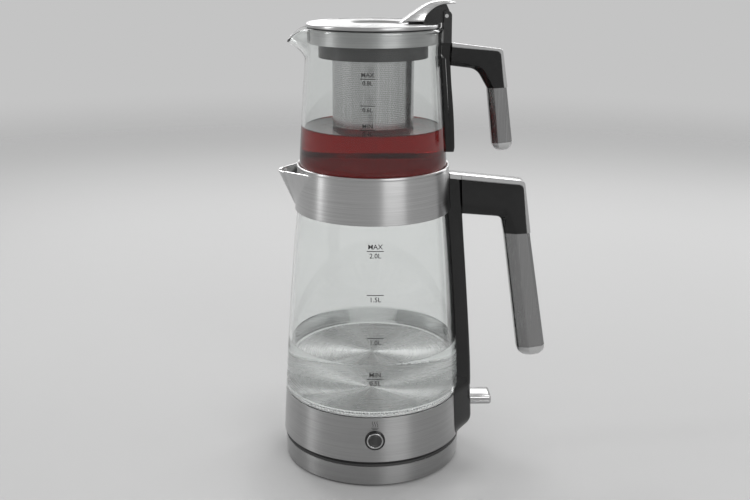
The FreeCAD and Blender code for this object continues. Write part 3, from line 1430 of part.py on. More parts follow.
flangeTurned = lathe("infuser_flange_turned", [
    ("infuser_shoulder_radius", "infuser_shoulder_level"),
    ("infuser_skirt_radius", "infuser_shoulder_level"),
    ("infuser_skirt_radius", "teapot_rim_level"),
    ("infuser_lip_radius", "teapot_rim_level"),
    ("infuser_lip_radius", "infuser_top"),
    ("infuser_skirt_radius - sheet_steel", "infuser_top"),
    ("infuser_skirt_radius - sheet_steel", "infuser_shoulder_top"),
    ("infuser_shoulder_radius", "infuser_shoulder_top"),
])
slotCount = int(number("strainer_slot_count"))
strainerSlots = []
for index in range(slotCount):
    offset = f"{index - (slotCount - 1) / 2} * strainer_slot_pitch"
    strainerSlots.append(block(f"strainer_slot{index}",
                               ("-infuser_skirt_radius - 2", f"{offset} - strainer_slot_width / 2",
                                "infuser_shoulder_level + 2"),
                               ("-infuser_skirt_radius * 0.8", f"{offset} + strainer_slot_width / 2",
                                "teapot_rim_level - 2")))
keep(cut("infuser_flange_cut", flangeTurned, group("strainer_slots", strainerSlots)), "infuser_flange")

keep(lathe("infuser_collar_turned", [
    ("basket_radius + edge_fine", "infuser_collar_bottom"),
    ("infuser_collar_radius", "infuser_collar_bottom"),
    ("infuser_collar_radius", "infuser_shoulder_level"),
    ("infuser_collar_radius - infuser_collar_wall", "infuser_shoulder_level"),
    ("infuser_collar_radius - infuser_collar_wall", "infuser_collar_bottom + infuser_collar_wall"),
    ("basket_radius + edge_fine", "infuser_collar_bottom + infuser_collar_wall"),
]), "infuser_collar")
keep(lathe("basket_turned", [
    ("basket_radius - basket_wall", "basket_floor"),
    ("basket_radius", "basket_floor"),
    ("basket_radius", "infuser_shoulder_top"),
    ("basket_radius - basket_wall", "infuser_shoulder_top"),
]), "infuser_basket")
keep(lathe("basket_rim_turned", [
    ("basket_radius - basket_wall", "infuser_shoulder_top"),
    ("basket_flange_radius", "infuser_shoulder_top"),
    ("basket_flange_radius", "infuser_shoulder_top + basket_wall"),
    ("basket_radius - basket_wall", "infuser_shoulder_top + basket_wall"),
]), "basket_rim")
keep(lathe("basket_floor_turned", [
    ("0", "basket_floor"),
    ("basket_radius - basket_wall - fit", "basket_floor"),
    ("basket_radius - basket_wall - fit", "basket_floor + basket_wall"),
    ("0", "basket_floor + basket_wall"),
]), "infuser_floor")

# Teapot's handle

potSeamLow = ("pot_arm_under_reach", "pot_arm_under_level")
potSeamHigh = ("pot_arm_top_reach", "pot_arm_top_level")
potSpineSlab = slab("pot_spine_slab", [
    ("pot_inner_reach", "pot_spine_low_level"),
    ("pot_spine_low_reach - 1", "pot_spine_low_level"),
    ("pot_spine_low_reach", "pot_spine_low_level + 2"),
    potSeamLow,
    potSeamHigh,
    ("pot_inner_reach", "pot_spine_top_level"),
], "pot_spine_width")
mountForm = lathe("pot_mount_form", [
    ("0", "pot_mount_bottom"),
    ("teapot_low_radius + fit + pot_mount_thickness", "pot_mount_bottom"),
    ("teapot_neck_radius + fit + pot_mount_thickness", "pot_mount_top"),
    ("0", "pot_mount_top"),
])
mountStrip = block("pot_mount_strip",
                   ("pot_inner_reach - tool_spare", "-pot_mount_width / 2", "pot_mount_bottom"),
                   ("teapot_low_radius + tool_reach", "pot_mount_width / 2", "pot_mount_top"))
mountBlank = common("pot_mount_blank", mountStrip, mountForm)
keep(cut("pot_mount_cut", mountBlank, teapotForm), "teapot_handle_mount")
potSpineTools = fuse("pot_spine_tools", [teapotForm, mountForm])
keep(cut("pot_spine_cut", potSpineSlab, potSpineTools), "teapot_spine")

potOuterTop = ("pot_grip_top_outer_reach", "pot_grip_top_outer_level")
potInnerTop = ("pot_grip_top_inner_reach", "pot_grip_top_inner_level")
potOuterEnd = ("pot_grip_end_outer_reach", "pot_grip_end_outer_level")
potInnerEnd = ("pot_grip_end_inner_reach", "pot_grip_end_inner_level")
potCorner = ("pot_corner_reach", "pot_corner_level")
potNames = gripOutlines(potOuterTop, potInnerTop, potOuterEnd, potInnerEnd, "pot_grip_dome_radius")
potNames.update(arm="teapot_arm", grip="teapot_grip", cap="teapot_grip_cap", trim="teapot_arm_trim",
                trimOutline=trimOutline(potSeamHigh, potCorner, potOuterTop))
handle("pot", potNames,
       [potSeamLow, potSeamHigh, potCorner, potOuterTop, potInnerTop + ("in", "pot_elbow_radius"),
        ("pot_elbow_reach", "pot_elbow_level")],
       "pot_arm_width", "pot_arm_edge", "pot_trim_width")

# Hinge bracket on top of the teapot's spine

bracketSlab = slab("bracket_slab", [
    ("bracket_inner_reach", "pot_spine_top_level + fit"),
    ("bracket_outer_reach", "pot_spine_top_level + fit"),
    ("hinge_reach + ear_radius", "hinge_level", "out", "ear_radius"),
    ("hinge_reach", "hinge_level + ear_radius"),
    ("bracket_inner_reach", "hinge_level + ear_radius - edge_medium"),
], "hinge_block_width + 2 * (ear_thickness + running)")
gapHalf = "(hinge_block_width / 2 + running)"
bracketGap = block("bracket_gap",
                   ("bracket_inner_reach - tool_spare", f"-{gapHalf}", "bracket_web_level"),
                   ("bracket_outer_reach + tool_spare", gapHalf, "hinge_level + tool_reach"))
hingeStart = ("hinge_reach", "-hinge_pin_length / 2", "hinge_level")
earHoles = rod("ear_holes", "hinge_pin_radius + fit", "hinge_pin_length", hingeStart, "Y")
bracketTools = fuse("bracket_tools", [bracketGap, earHoles, teapotForm])
keep(cut("bracket_cut", bracketSlab, bracketTools), "hinge_bracket")
keep(rod("hinge_pin_bar", "hinge_pin_radius", "hinge_pin_length", hingeStart, "Y"), "hinge_pin")

# Lid

lidTurned = lathe("lid_turned", [
    ("0", "liner_top"),
    ("lid_dish_radius + lid_sheet", "liner_top"),
    ("lid_dish_radius + lid_dish_slope + lid_sheet", "lid_under"),
    ("lid_top_radius - edge_large", "lid_under"),
    ("lid_radius - lid_sheet", "lid_level + 0.9"),
    ("lid_radius - lid_sheet", "lid_level"),
    ("lid_radius - edge_fine", "lid_level"),
    ("lid_radius", "lid_level + edge_medium"),
    ("lid_radius", "lid_level + 1.3"),
    ("lid_top_radius", "lid_top"),
    ("lid_dish_radius + lid_dish_slope", "lid_top"),
    ("lid_dish_radius", "lid_dish_floor"),
    ("0", "lid_dish_floor"),
])
lidScrewPlaces = [("lid_screw_reach", "-lid_screw_spread / 2"), ("lid_screw_reach", "lid_screw_spread / 2")]
lidScrewSizes = ("liner_bottom", "lid_screw_radius", "lid_screw_radius * 1.8", "0.5", "lid_screw_length")
linerTurned = lathe("liner_turned", [
    ("0", "liner_bottom"),
    ("liner_radius", "liner_bottom"),
    ("liner_radius", "lid_level + 0.3"),
    ("lid_top_radius - 2.4", "lid_under"),
    ("liner_ring_inner_radius", "lid_under"),
    ("liner_ring_inner_radius", "liner_top"),
    ("0", "liner_top"),
])
linerHoles = screwHoles("liner_screw_hole", lidScrewPlaces, *lidScrewSizes)
keep(cut("liner_cut", linerTurned, linerHoles), "lid_liner")
plateHoles = screwHoles("lid_screw_hole", lidScrewPlaces, *lidScrewSizes)
keep(cut("lid_plate_cut", lidTurned, plateHoles), "lid_plate")
keep(screws("lid_screw", lidScrewPlaces, *lidScrewSizes), "lid_screws")

underside = [("lever_foot_reach", "lid_top"), ("lever_heel_reach", "lever_heel_level"),
             ("lever_bend_reach", "lever_bend_level"), ("lever_top_reach", "lever_under_level")]
keep(slab("lever_slab", [
    ("lever_front_reach", "lid_top"),
    ("lever_front_reach", "lever_front_level"),
    ("lever_slope_reach", "lever_slope_level"),
    ("lever_neck_reach", "lever_neck_level"),
    ("lever_top_reach", "lever_top_level"),
    ("lever_tip_reach", "lever_tip_level"),
    ("lever_tip_reach", "lever_tip_level - lever_tip_thickness"),
] + underside[::-1], "lever_width"), "lid_lever")

blockTop = ("hinge_reach", "lever_under_level + 0.3")
hingeSlab = slab("hinge_block_slab", underside + [
    blockTop,
    ("hinge_reach + hinge_knuckle_radius", "hinge_level", "out", "hinge_knuckle_radius"),
    ("hinge_reach", "hinge_level - hinge_knuckle_radius"),
    ("hinge_block_front", "lid_top"),
], "hinge_block_width")
blockBore = rod("hinge_bore", "hinge_pin_radius + pin_play", "hinge_pin_length", hingeStart, "Y")
blockScrewHoles = screwHoles("block_screw_hole", lidScrewPlaces, *lidScrewSizes)
hingeBlockTools = fuse("hinge_block_tools", [blockBore, blockScrewHoles])
keep(cut("hinge_block_cut", hingeSlab, hingeBlockTools), "hinge_block")

# Check and write

document.recompute()
faults = [thing.Label for thing in document.Objects
          if "Invalid" in thing.State or "Error" in thing.State]
if faults:
    raise RuntimeError("failed objects: " + ", ".join(faults))
for piece in pieces:
    if piece.Shape.isNull() or not piece.Shape.isValid() or not piece.Shape.Solids:
        raise RuntimeError("bad shape: " + piece.Label)

os.makedirs("parts", exist_ok=True)
for piece in pieces:
    piece.Shape.exportStep(os.path.join("parts", piece.Label + ".step"))
print(len(pieces), "sub-parts written")
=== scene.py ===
import json
import math

import bmesh
import bpy
from mathutils import Matrix, Vector


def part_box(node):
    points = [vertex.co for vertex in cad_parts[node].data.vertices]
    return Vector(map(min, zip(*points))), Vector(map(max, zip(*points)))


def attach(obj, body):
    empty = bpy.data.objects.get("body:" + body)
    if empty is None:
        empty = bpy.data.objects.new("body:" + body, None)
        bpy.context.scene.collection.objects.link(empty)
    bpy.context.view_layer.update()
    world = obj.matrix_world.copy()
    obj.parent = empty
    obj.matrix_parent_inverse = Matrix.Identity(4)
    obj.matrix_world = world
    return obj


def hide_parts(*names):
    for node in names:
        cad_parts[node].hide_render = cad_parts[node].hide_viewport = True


# Automatic tea maker. Sizes are in millimetres, Z up, the origin on the kettle's axis on the table.
# The handles point along +X, the spouts along -X, and the button faces -Y.

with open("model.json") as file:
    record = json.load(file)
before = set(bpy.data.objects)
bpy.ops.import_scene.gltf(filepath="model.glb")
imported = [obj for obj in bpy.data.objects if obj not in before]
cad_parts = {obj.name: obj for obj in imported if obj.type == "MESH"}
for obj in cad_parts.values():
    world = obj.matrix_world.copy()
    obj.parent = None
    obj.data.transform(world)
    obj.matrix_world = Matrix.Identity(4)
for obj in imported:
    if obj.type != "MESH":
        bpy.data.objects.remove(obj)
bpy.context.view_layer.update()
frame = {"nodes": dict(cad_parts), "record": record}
scene = bpy.context.scene
print("frame loaded with", len(frame["nodes"]), "nodes")


# Shared helpers for objects and nodes

def addObject(name, data):
    made = bpy.data.objects.new(name, data)
    scene.collection.objects.link(made)
    return made


# The plain mesh that an object comes to with its modifiers or its text; the object itself goes away
def takeMesh(made):
    depsgraph = bpy.context.evaluated_depsgraph_get()
    mesh = bpy.data.meshes.new_from_object(made.evaluated_get(depsgraph))
    bpy.data.objects.remove(made)
    return mesh


# A node with its settings and its inputs: a socket is linked, and any other value is set
def addNode(tree, kind, inputs=None, **settings):
    node = tree.nodes.new(kind)
    for title, value in settings.items():
        setattr(node, title, value)
    for title, value in (inputs or {}).items():
        if isinstance(value, bpy.types.NodeSocket):
            tree.links.new(value, node.inputs[title])
        else:
            node.inputs[title].default_value = value
    return node


def mathNode(tree, operation, *values):
    return addNode(tree, "ShaderNodeMath", dict(enumerate(values)), operation=operation).outputs[0]


# How far a value is on its way from one number to another
def shareNode(tree, value, start, end, **settings):
    inputs = {"Value": value, "From Min": start, "From Max": end}
    return addNode(tree, "ShaderNodeMapRange", inputs, **settings).outputs["Result"]


def blendNode(tree, share, first, second):
    inputs = {"Factor": share, "A": first, "B": second}
    return addNode(tree, "ShaderNodeMix", inputs, data_type="RGBA").outputs["Result"]


# Camera

cameraSizes = {
    "distance": 853.2,
    "height": 437.55,
    "aside": 2.045,
    "heading": -2.0,
    "pitch": 16.54,
    "roll": 0.242,
    "lens": 49.87,
    "sensor": 36.0,
}


def addCamera(sizes):
    lens = bpy.data.cameras.new("camera")
    lens.sensor_width = sizes["sensor"]
    lens.lens = sizes["lens"]
    camera = addObject("camera", lens)
    heading = Matrix.Rotation(math.radians(sizes["heading"]), 4, "Z")
    tilt = Matrix.Rotation(math.radians(90.0 - sizes["pitch"]), 4, "X")
    roll = Matrix.Rotation(math.radians(sizes["roll"]), 4, "Z")
    place = Vector((sizes["aside"], -sizes["distance"], sizes["height"])) * 0.001
    camera.matrix_world = heading @ Matrix.Translation(place) @ tilt @ roll
    scene.camera = camera


addCamera(cameraSizes)


# Shared node groups

def startGroup(name, inputs, outputs):
    group = bpy.data.node_groups.new(name, "ShaderNodeTree")
    for direction, sockets in (("INPUT", inputs), ("OUTPUT", outputs)):
        for title, kind in sockets.items():
            group.interface.new_socket(title, in_out=direction, socket_type="NodeSocket" + kind)
    source = group.nodes.new("NodeGroupInput")
    return group, source.outputs, group.nodes.new("NodeGroupOutput")


# Turns object coordinates into (cosine, sine, radius) about the Z axis, for grooves that run round it
def makeRingVector():
    group, given, target = startGroup("ringVector", {"Vector": "Vector"}, {"Vector": "Vector"})
    parts = addNode(group, "ShaderNodeSeparateXYZ", {0: given["Vector"]}).outputs
    squares = [mathNode(group, "MULTIPLY", parts[side], parts[side]) for side in (0, 1)]
    radius = mathNode(group, "SQRT", mathNode(group, "ADD", *squares))
    safe = mathNode(group, "MAXIMUM", radius, 0.0001)
    turned = [mathNode(group, "DIVIDE", parts[side], safe) for side in (0, 1)]
    joined = addNode(group, "ShaderNodeCombineXYZ", {0: turned[0], 1: turned[1], 2: radius})
    group.links.new(joined.outputs[0], target.inputs["Vector"])
    return group


# Fine grain in a stretched direction, with a slow smudge over it
grainSizes = {
    "fine": {"Scale": 1.0, "Detail": 4.0, "Roughness": 0.6},
    "slow": {"Scale": 28.0, "Detail": 3.0, "Distortion": 0.6},
    "spread": (0.3, 0.7),
    "smear": (0.42, 0.72),
}


def makeSurfaceGrain(sizes):
    group, given, target = startGroup(
        "surfaceGrain",
        {"Grain": "Vector", "Place": "Vector", "Dark": "Color", "Light": "Color", "Low": "Float",
         "High": "Float", "Smudge": "Float", "Depth": "Float"},
        {"Color": "Color", "Roughness": "Float", "Normal": "Vector"})
    fine = addNode(group, "ShaderNodeTexNoise", {"Vector": given["Grain"], **sizes["fine"]}).outputs["Fac"]
    slow = addNode(group, "ShaderNodeTexNoise", {"Vector": given["Place"], **sizes["slow"]}).outputs["Fac"]
    spread = shareNode(group, fine, *sizes["spread"])
    colour = blendNode(group, spread, given["Dark"], given["Light"])
    rise = mathNode(group, "MULTIPLY", mathNode(group, "SUBTRACT", given["High"], given["Low"]), spread)
    base = mathNode(group, "ADD", given["Low"], rise)
    film = mathNode(group, "MULTIPLY", shareNode(group, slow, *sizes["smear"]), given["Smudge"])
    bump = addNode(group, "ShaderNodeBump", {"Distance": given["Depth"], "Height": fine})
    rough = mathNode(group, "ADD", base, film)
    results = {"Color": colour, "Roughness": rough, "Normal": bump.outputs["Normal"]}
    for title, socket in results.items():
        group.links.new(socket, target.inputs[title])
    return group


# Rows of small round holes round the basket: 1 in a hole, 0 between
def makeHoleMask(edge):
    group, given, target = startGroup(
        "holeMask", {"Vector": "Vector", "Pitch": "Float", "Round": "Float"}, {"Mask": "Float"})
    parts = addNode(group, "ShaderNodeSeparateXYZ", {0: given["Vector"]}).outputs
    across = mathNode(group, "MULTIPLY", mathNode(group, "ARCTAN2", parts[1], parts[0]), given["Round"])
    up = mathNode(group, "DIVIDE", parts[2], given["Pitch"])
    row = mathNode(group, "FLOOR", up)
    shift = mathNode(group, "MULTIPLY", mathNode(group, "MODULO", row, 2.0), 0.5)
    fromMiddle = []
    for value in (mathNode(group, "ADD", across, shift), up):
        side = mathNode(group, "SUBTRACT", mathNode(group, "FRACT", value), 0.5)
        fromMiddle.append(mathNode(group, "MULTIPLY", side, side))
    distance = mathNode(group, "SQRT", mathNode(group, "ADD", *fromMiddle))
    group.links.new(shareNode(group, distance, *edge), target.inputs["Mask"])
    return group


ringVector = makeRingVector()
surfaceGrain = makeSurfaceGrain(grainSizes)
holeMask = makeHoleMask((0.34, 0.22))


# Materials: one for each of the record's slots, and those of the contents and the print

ringSmudge = (0.11, 0.11, 0.0)


# Dark and light tones, a range of roughness, and grain stretched along the directions with low numbers
def makeMaterial(name, dark, light, rough, stretch, depth=2e-6, smudge=0.03, rings=False, lean=0.0,
                 plain=False, radial=False, **constants):
    material = bpy.data.materials.new(name)
    material.use_nodes = True
    tree = material.node_tree
    shader = tree.nodes["Principled BSDF"]
    for socket, value in constants.items():
        shader.inputs[socket].default_value = value
    place = addNode(tree, "ShaderNodeTexCoord").outputs["Object"]
    direction, slow = place, place
    if rings:
        direction = addNode(tree, "ShaderNodeGroup", {"Vector": place}, node_tree=ringVector).outputs[0]
        slow = addNode(tree, "ShaderNodeMapping", {"Vector": direction, "Scale": ringSmudge}).outputs[0]
    mapping = addNode(tree, "ShaderNodeMapping", {
        "Vector": direction, "Scale": stretch, "Rotation": (0.0, math.radians(lean), 0.0)})
    grain = addNode(tree, "ShaderNodeGroup", node_tree=surfaceGrain)
    values = {"Dark": (*dark, 1.0), "Light": (*light, 1.0), "Low": rough[0], "High": rough[1],
              "Smudge": smudge, "Depth": depth}
    for socket, value in values.items():
        grain.inputs[socket].default_value = value
    tree.links.new(mapping.outputs["Vector"], grain.inputs["Grain"])
    tree.links.new(slow, grain.inputs["Place"])
    shader.inputs["Base Color"].default_value = (*light, 1.0)
    if not plain:
        tree.links.new(grain.outputs["Color"], shader.inputs["Base Color"])
    tree.links.new(grain.outputs["Roughness"], shader.inputs["Roughness"])
    tree.links.new(grain.outputs["Normal"], shader.inputs["Normal"])
    if radial:
        along = addNode(tree, "ShaderNodeTangent", direction_type="RADIAL", axis="Z")
        tree.links.new(along.outputs["Tangent"], shader.inputs["Tangent"])
    return material


def grey(value, warm=0.0):
    return (value + warm, value, value - warm)


roundBrush = (14.0, 14.0, 2300.0)
uprightBrush = (1500.0, 1500.0, 9.0)
ringBrush = (1.5, 1.5, 1900.0)
fineGrain = (1400.0, 1400.0, 1400.0)
softGrain = (240.0, 240.0, 240.0)
polishGrain = (900.0, 900.0, 900.0)


def finish(dark, light, rough, stretch, **more):
    return {"dark": dark, "light": light, "rough": rough, "stretch": stretch, **more}


def steel(dark, light, rough, stretch, **more):
    return finish(grey(dark), grey(light), rough, stretch, Metallic=1.0, **more)


# Steel whose grooves run round it, so that light spreads across them
def roundSteel(dark, light, rough, stretch, spread, **more):
    return steel(dark, light, rough, stretch, radial=True,
                 **{"Anisotropic": spread, "Anisotropic Rotation": 0.25}, **more)


def mattBlack(value, rough=(0.42, 0.55), depth=6e-6):
    return finish(grey(value * 0.8), grey(value * 1.2), rough, fineGrain, depth=depth, smudge=0.06)


def clearGlass(tint, ior):
    return finish(tint, tint, (0.0, 0.004), (18.0, 18.0, 9.0), depth=4e-6, smudge=0.012, plain=True,
                  **{"IOR": ior, "Transmission Weight": 1.0})


glossBlack = finish(grey(0.005), grey(0.009), (0.06, 0.09), softGrain, depth=2e-7, smudge=0.06,
                    **{"Specular IOR Level": 0.42})
vesselGlass = clearGlass((0.955, 0.97, 0.963), 1.47)
capSteel = steel(0.58, 0.66, (0.3, 0.4), fineGrain)
trimChrome = steel(0.58, 0.64, (0.09, 0.14), polishGrain)
gripSteel = steel(0.26, 0.32, (0.2, 0.28), uprightBrush, depth=6e-7)
teaRed = (0.25, 0.0012, 0.0003)

finishes = {
    "feet_rubber": mattBlack(0.018, (0.7, 0.85)),
    "base_plastic": mattBlack(0.022),
    "base_steel": roundSteel(0.30, 0.40, (0.30, 0.38), roundBrush, 0.95),
    "screw_steel": steel(0.55, 0.62, (0.2, 0.28), softGrain),
    "bush_rubber": mattBlack(0.016, (0.65, 0.8)),
    "socket_plastic": mattBlack(0.03),
    "contact_brass": finish((0.62, 0.44, 0.18), (0.74, 0.55, 0.25), (0.2, 0.3), softGrain, Metallic=1.0),
    "underpan_plastic": mattBlack(0.015, (0.3, 0.42)),
    "band_steel": roundSteel(0.32, 0.43, (0.28, 0.36), roundBrush, 0.95),
    "inner_plastic": mattBlack(0.05),
    "heater_plate": roundSteel(0.42, 0.52, (0.22, 0.29), ringBrush, 1.0, rings=True, smudge=0.05),
    "clear_silicone": finish(grey(0.66), grey(0.82), (0.12, 0.24), fineGrain, smudge=0.05,
                             **{"IOR": 1.42, "Transmission Weight": 0.5}),
    "element_metal": steel(0.5, 0.6, (0.3, 0.42), softGrain),
    "thermostat_plastic": finish((0.6, 0.58, 0.5), (0.68, 0.66, 0.6), (0.4, 0.5), fineGrain),
    "button_black": glossBlack,
    "button_chrome": steel(0.40, 0.46, (0.10, 0.16), softGrain),
    "button_cap": steel(0.07, 0.11, (0.26, 0.36), (900.0, 900.0, 12.0)),
    "board_laminate": finish((0.02, 0.12, 0.05), (0.03, 0.17, 0.07), (0.4, 0.5), softGrain),
    "kettle_glass": vesselGlass,
    "collar_steel": roundSteel(0.42, 0.56, (0.28, 0.36), roundBrush, 0.95),
    "black_silicone": mattBlack(0.014, (0.35, 0.5)),
    "ledge_steel": steel(0.5, 0.6, (0.26, 0.36), ringBrush, rings=True),
    "filter_black": mattBlack(0.012),
    "spout_steel": steel(0.48, 0.55, (0.26, 0.34), (260.0, 1500.0, 40.0), depth=4e-7),
    "handle_gloss": glossBlack,
    "tube_silicone": finish(grey(0.55, 0.01), grey(0.66, 0.01), (0.3, 0.42), softGrain),
    "grip_steel": {**gripSteel, "lean": -9.8},
    "cap_steel": capSteel,
    "trim_chrome": trimChrome,
    "paddle_steel": steel(0.46, 0.54, (0.13, 0.19), (40.0, 900.0, 900.0)),
    "teapot_glass": vesselGlass,
    "flange_steel": roundSteel(0.34, 0.42, (0.28, 0.38), roundBrush, 0.5),
    "infuser_black": mattBlack(0.006, (0.3, 0.42)),
    "basket_steel": steel(0.50, 0.58, (0.16, 0.24), (500.0, 500.0, 12.0), depth=3e-7),
    "pot_handle_gloss": glossBlack,
    "pot_grip_steel": {**gripSteel, "lean": -7.0},
    "pot_cap_steel": capSteel,
    "pot_trim_chrome": trimChrome,
    "hinge_black": mattBlack(0.014, (0.22, 0.34), 2e-6),
    "pin_steel": steel(0.6, 0.66, (0.14, 0.22), softGrain),
    "lid_steel": roundSteel(0.40, 0.47, (0.25, 0.33), ringBrush, 0.6, rings=True),
    "liner_black": mattBlack(0.016, (0.3, 0.42)),
    "lever_steel": steel(0.54, 0.62, (0.2, 0.28), (60.0, 1200.0, 1200.0)),
    "print_black": mattBlack(0.012, (0.5, 0.6), 1e-6),
    "print_grey": mattBlack(0.06, (0.4, 0.5), 1e-6),
    "water": clearGlass((0.97, 0.985, 0.98), 1.33),
    "tea": finish(teaRed, teaRed, (0.0, 0.004), softGrain, depth=1e-7, smudge=0.0, plain=True,
                  **{"IOR": 1.34, "Transmission Weight": 1.0}),
}
materials = {name: makeMaterial(name, **recipe) for name, recipe in finishes.items()}


# The basket's wall shows its fine holes as dark dots: the holes are real, and their darkness is painted
# shade for the dim inside seen through them
def perforate(material, sizes):
    tree = material.node_tree
    shader = tree.nodes["Principled BSDF"]
    toned = shader.inputs["Base Color"].links[0].from_socket
    place = addNode(tree, "ShaderNodeTexCoord").outputs["Object"]
    mask = addNode(tree, "ShaderNodeGroup", node_tree=holeMask)
    mask.inputs["Pitch"].default_value = sizes["pitch"] * 0.001
    mask.inputs["Round"].default_value = sizes["countRound"] / (2.0 * math.pi)
    tree.links.new(place, mask.inputs["Vector"])
    # The holes take a darker grey, painted shade standing in for the dim inside of the basket
    holed = blendNode(tree, mask.outputs["Mask"], toned, (*grey(sizes["holeShadeTone"]), 1.0))
    tree.links.new(holed, shader.inputs["Base Color"])


# holeShadeTone is the grey of the painted shade in the holes
perforate(materials["basket_steel"], {"pitch": 1.5, "countRound": 140.0, "holeShadeTone": 0.26})
for row in frame["record"]["subparts"]:
    shown = frame["nodes"][row["node"]]
    shown.data.materials.clear()
    shown.data.materials.append(materials[row["material_slot"]])
print("materials:", len(materials))


# Mesh helpers

clearSlots = {"kettle_glass", "teapot_glass", "water", "tea"}


# The lowest and highest corners of a node, in millimetres
def span(node):
    return [[side * 1000.0 for side in corner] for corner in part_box(node)]


# Sews a mesh up, faces it outward and puts it in the scene on its body, in place of the given nodes
def placePiece(name, mesh, body, material, nodes=(), sharp=32.0):
    work = bmesh.new()
    work.from_mesh(mesh)
    bmesh.ops.remove_doubles(work, verts=work.verts, dist=1e-6)
    bmesh.ops.recalc_face_normals(work, faces=work.faces)
    for face in work.faces:
        face.smooth = True
    work.to_mesh(mesh)
    work.free()
    mesh.name = name
    mesh.set_sharp_from_angle(angle=math.radians(sharp))
    mesh.materials.clear()
    mesh.materials.append(materials[material])
    piece = addObject(name, mesh)
    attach(piece, body)
    piece.visible_shadow = material not in clearSlots
    if nodes:
        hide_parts(*nodes)


# Angles evenly spaced round a circle
def turns(count):
    return [2.0 * math.pi * step / count for step in range(count)]


def around(radius, angle, centre=(0.0, 0.0)):
    return (centre[0] + radius * math.cos(angle), centre[1] + radius * math.sin(angle))


def between(start, end, share):
    return start + (end - start) * share


# Numbers evenly spaced from one to another
def evenly(start, end, steps):
    return [between(start, end, step / steps) for step in range(steps + 1)]


def plainMesh(points, faces):
    mesh = bpy.data.meshes.new("piece")
    mesh.from_pydata(points, [], faces)
    return mesh


def meshFrom(points, faces):
    return plainMesh([Vector(point) * 0.001 for point in points], faces)


# An outline whose corners (across, up, radius) are rounded by arcs
def softened(corners, steps=4):
    points = []
    for index, corner in enumerate(corners):
        here = Vector(corner[:2])
        if len(corner) < 3:
            points.append(tuple(here))
            continue
        before = Vector(corners[index - 1][:2]) - here
        after = Vector(corners[(index + 1) % len(corners)][:2]) - here
        half = before.angle(after) / 2.0
        setback = min(corner[2] / math.tan(half), before.length * 0.49, after.length * 0.49)
        first = here + before.normalized() * setback
        last = here + after.normalized() * setback
        centre = here + (before.normalized() + after.normalized()).normalized() * (setback / math.cos(half))
        start = math.atan2(first.y - centre.y, first.x - centre.x)
        sweep = math.atan2(last.y - centre.y, last.x - centre.x) - start
        sweep = (sweep + math.pi) % (2.0 * math.pi) - math.pi
        radius = (first - centre).length
        points += [around(radius, angle, centre) for angle in evenly(start, start + sweep, steps)]
    return points


# A mesh over a closed circle of lines, each with the same count of points
def wrappedMesh(lines, closed):
    count = len(lines[0])
    faces = []
    for step in range(len(lines)):
        here = step * count
        there = (step + 1) % len(lines) * count
        for index in range(count if closed else count - 1):
            after = (index + 1) % count
            faces.append((here + index, there + index, there + after, here + after))
    return meshFrom([point for line in lines for point in line], faces)


# A line of (radius, level) at its place on the way round the Z axis
def turnedLine(line, angle):
    return [(*around(radius, angle), level) for radius, level in line]


def turnedMesh(outline, steps=160, closed=True):
    return wrappedMesh([turnedLine(outline, angle) for angle in turns(steps)], closed)


# A closed mesh over rings of points, each with the same count
def loftedMesh(rings):
    count = len(rings[0])
    points = [point for ring in rings for point in ring]
    faces = [tuple(range(count)), tuple(range(len(points) - count, len(points)))]
    for ring in range(len(rings) - 1):
        here, there = ring * count, (ring + 1) * count
        for index in range(count):
            after = (index + 1) % count
            faces.append((here + index, here + after, there + after, there + index))
    return meshFrom(points, faces)


# The value at a place between knots (place, value, ...), on a smooth line through them
def smoothAt(knots, place, column=1):
    place = min(max(place, knots[0][0]), knots[-1][0])
    index = max(i for i in range(len(knots) - 1) if knots[i][0] <= place)
    first, second = knots[index], knots[index + 1]
    before = knots[max(index - 1, 0)]
    after = knots[min(index + 2, len(knots) - 1)]
    run = second[0] - first[0]
    share = (place - first[0]) / run
    slopeIn = (second[column] - before[column]) / (second[0] - before[0]) * run
    slopeOut = (after[column] - first[column]) / (after[0] - first[0]) * run
    cube, square = share ** 3, share ** 2
    return ((2 * cube - 3 * square + 1) * first[column] + (cube - 2 * square + share) * slopeIn
            + (3 * square - 2 * cube) * second[column] + (cube - square) * slopeOut)


# What is left of a mesh when a tool is cut away from it
def carve(mesh, tool):
    blank = addObject("blank", mesh)
    cutter = addObject("cutter", tool)
    change = blank.modifiers.new("cut", "BOOLEAN")
    change.operation = "DIFFERENCE"
    change.solver = "EXACT"
    change.object = cutter
    result = takeMesh(blank)
    bpy.data.objects.remove(cutter)
    return result


def loftedBox(low, high):
    sides = ((low[1], low[2]), (high[1], low[2]), (high[1], high[2]), (low[1], high[2]))
    return loftedMesh([[(x, y, z) for y, z in sides] for x in (low[0], high[0])])


# Kettle's glass

kettleGlassSizes = {"taper": 13.0, "wall": 3.0, "bow": 1.22, "edge": 1.1, "rows": 24}
glassLow, glassHigh = span("kettle_glass")


# The outer radius of the kettle's glass at a level
def glassRadius(level):
    share = (level - glassLow[2]) / (glassHigh[2] - glassLow[2])
    bow = 4.0 * kettleGlassSizes["bow"] * share * (1.0 - share)
    return glassHigh[0] - kettleGlassSizes["taper"] * share + bow


def makeKettleGlass(sizes):
    edge = sizes["edge"]
    low, high = glassLow[2], glassHigh[2]
    outer = [(glassRadius(level), level) for level in evenly(low + edge, high - edge, sizes["rows"])]
    inner = [(radius - sizes["wall"], level) for radius, level in reversed(outer)]
    top = softened([outer[-1], (outer[-1][0], high, edge), (inner[0][0], high, edge), inner[0]])
    foot = softened([inner[-1], (inner[-1][0], low, edge), (outer[0][0], low, edge), outer[0]])
    mesh = turnedMesh(outer + top[1:-1] + inner + foot[1:-1])
    placePiece("kettleGlass", mesh, "kettle", "kettle_glass", ("kettle_glass",))


makeKettleGlass(kettleGlassSizes)


# Teapot's glass, with the lip pulled out of its rim

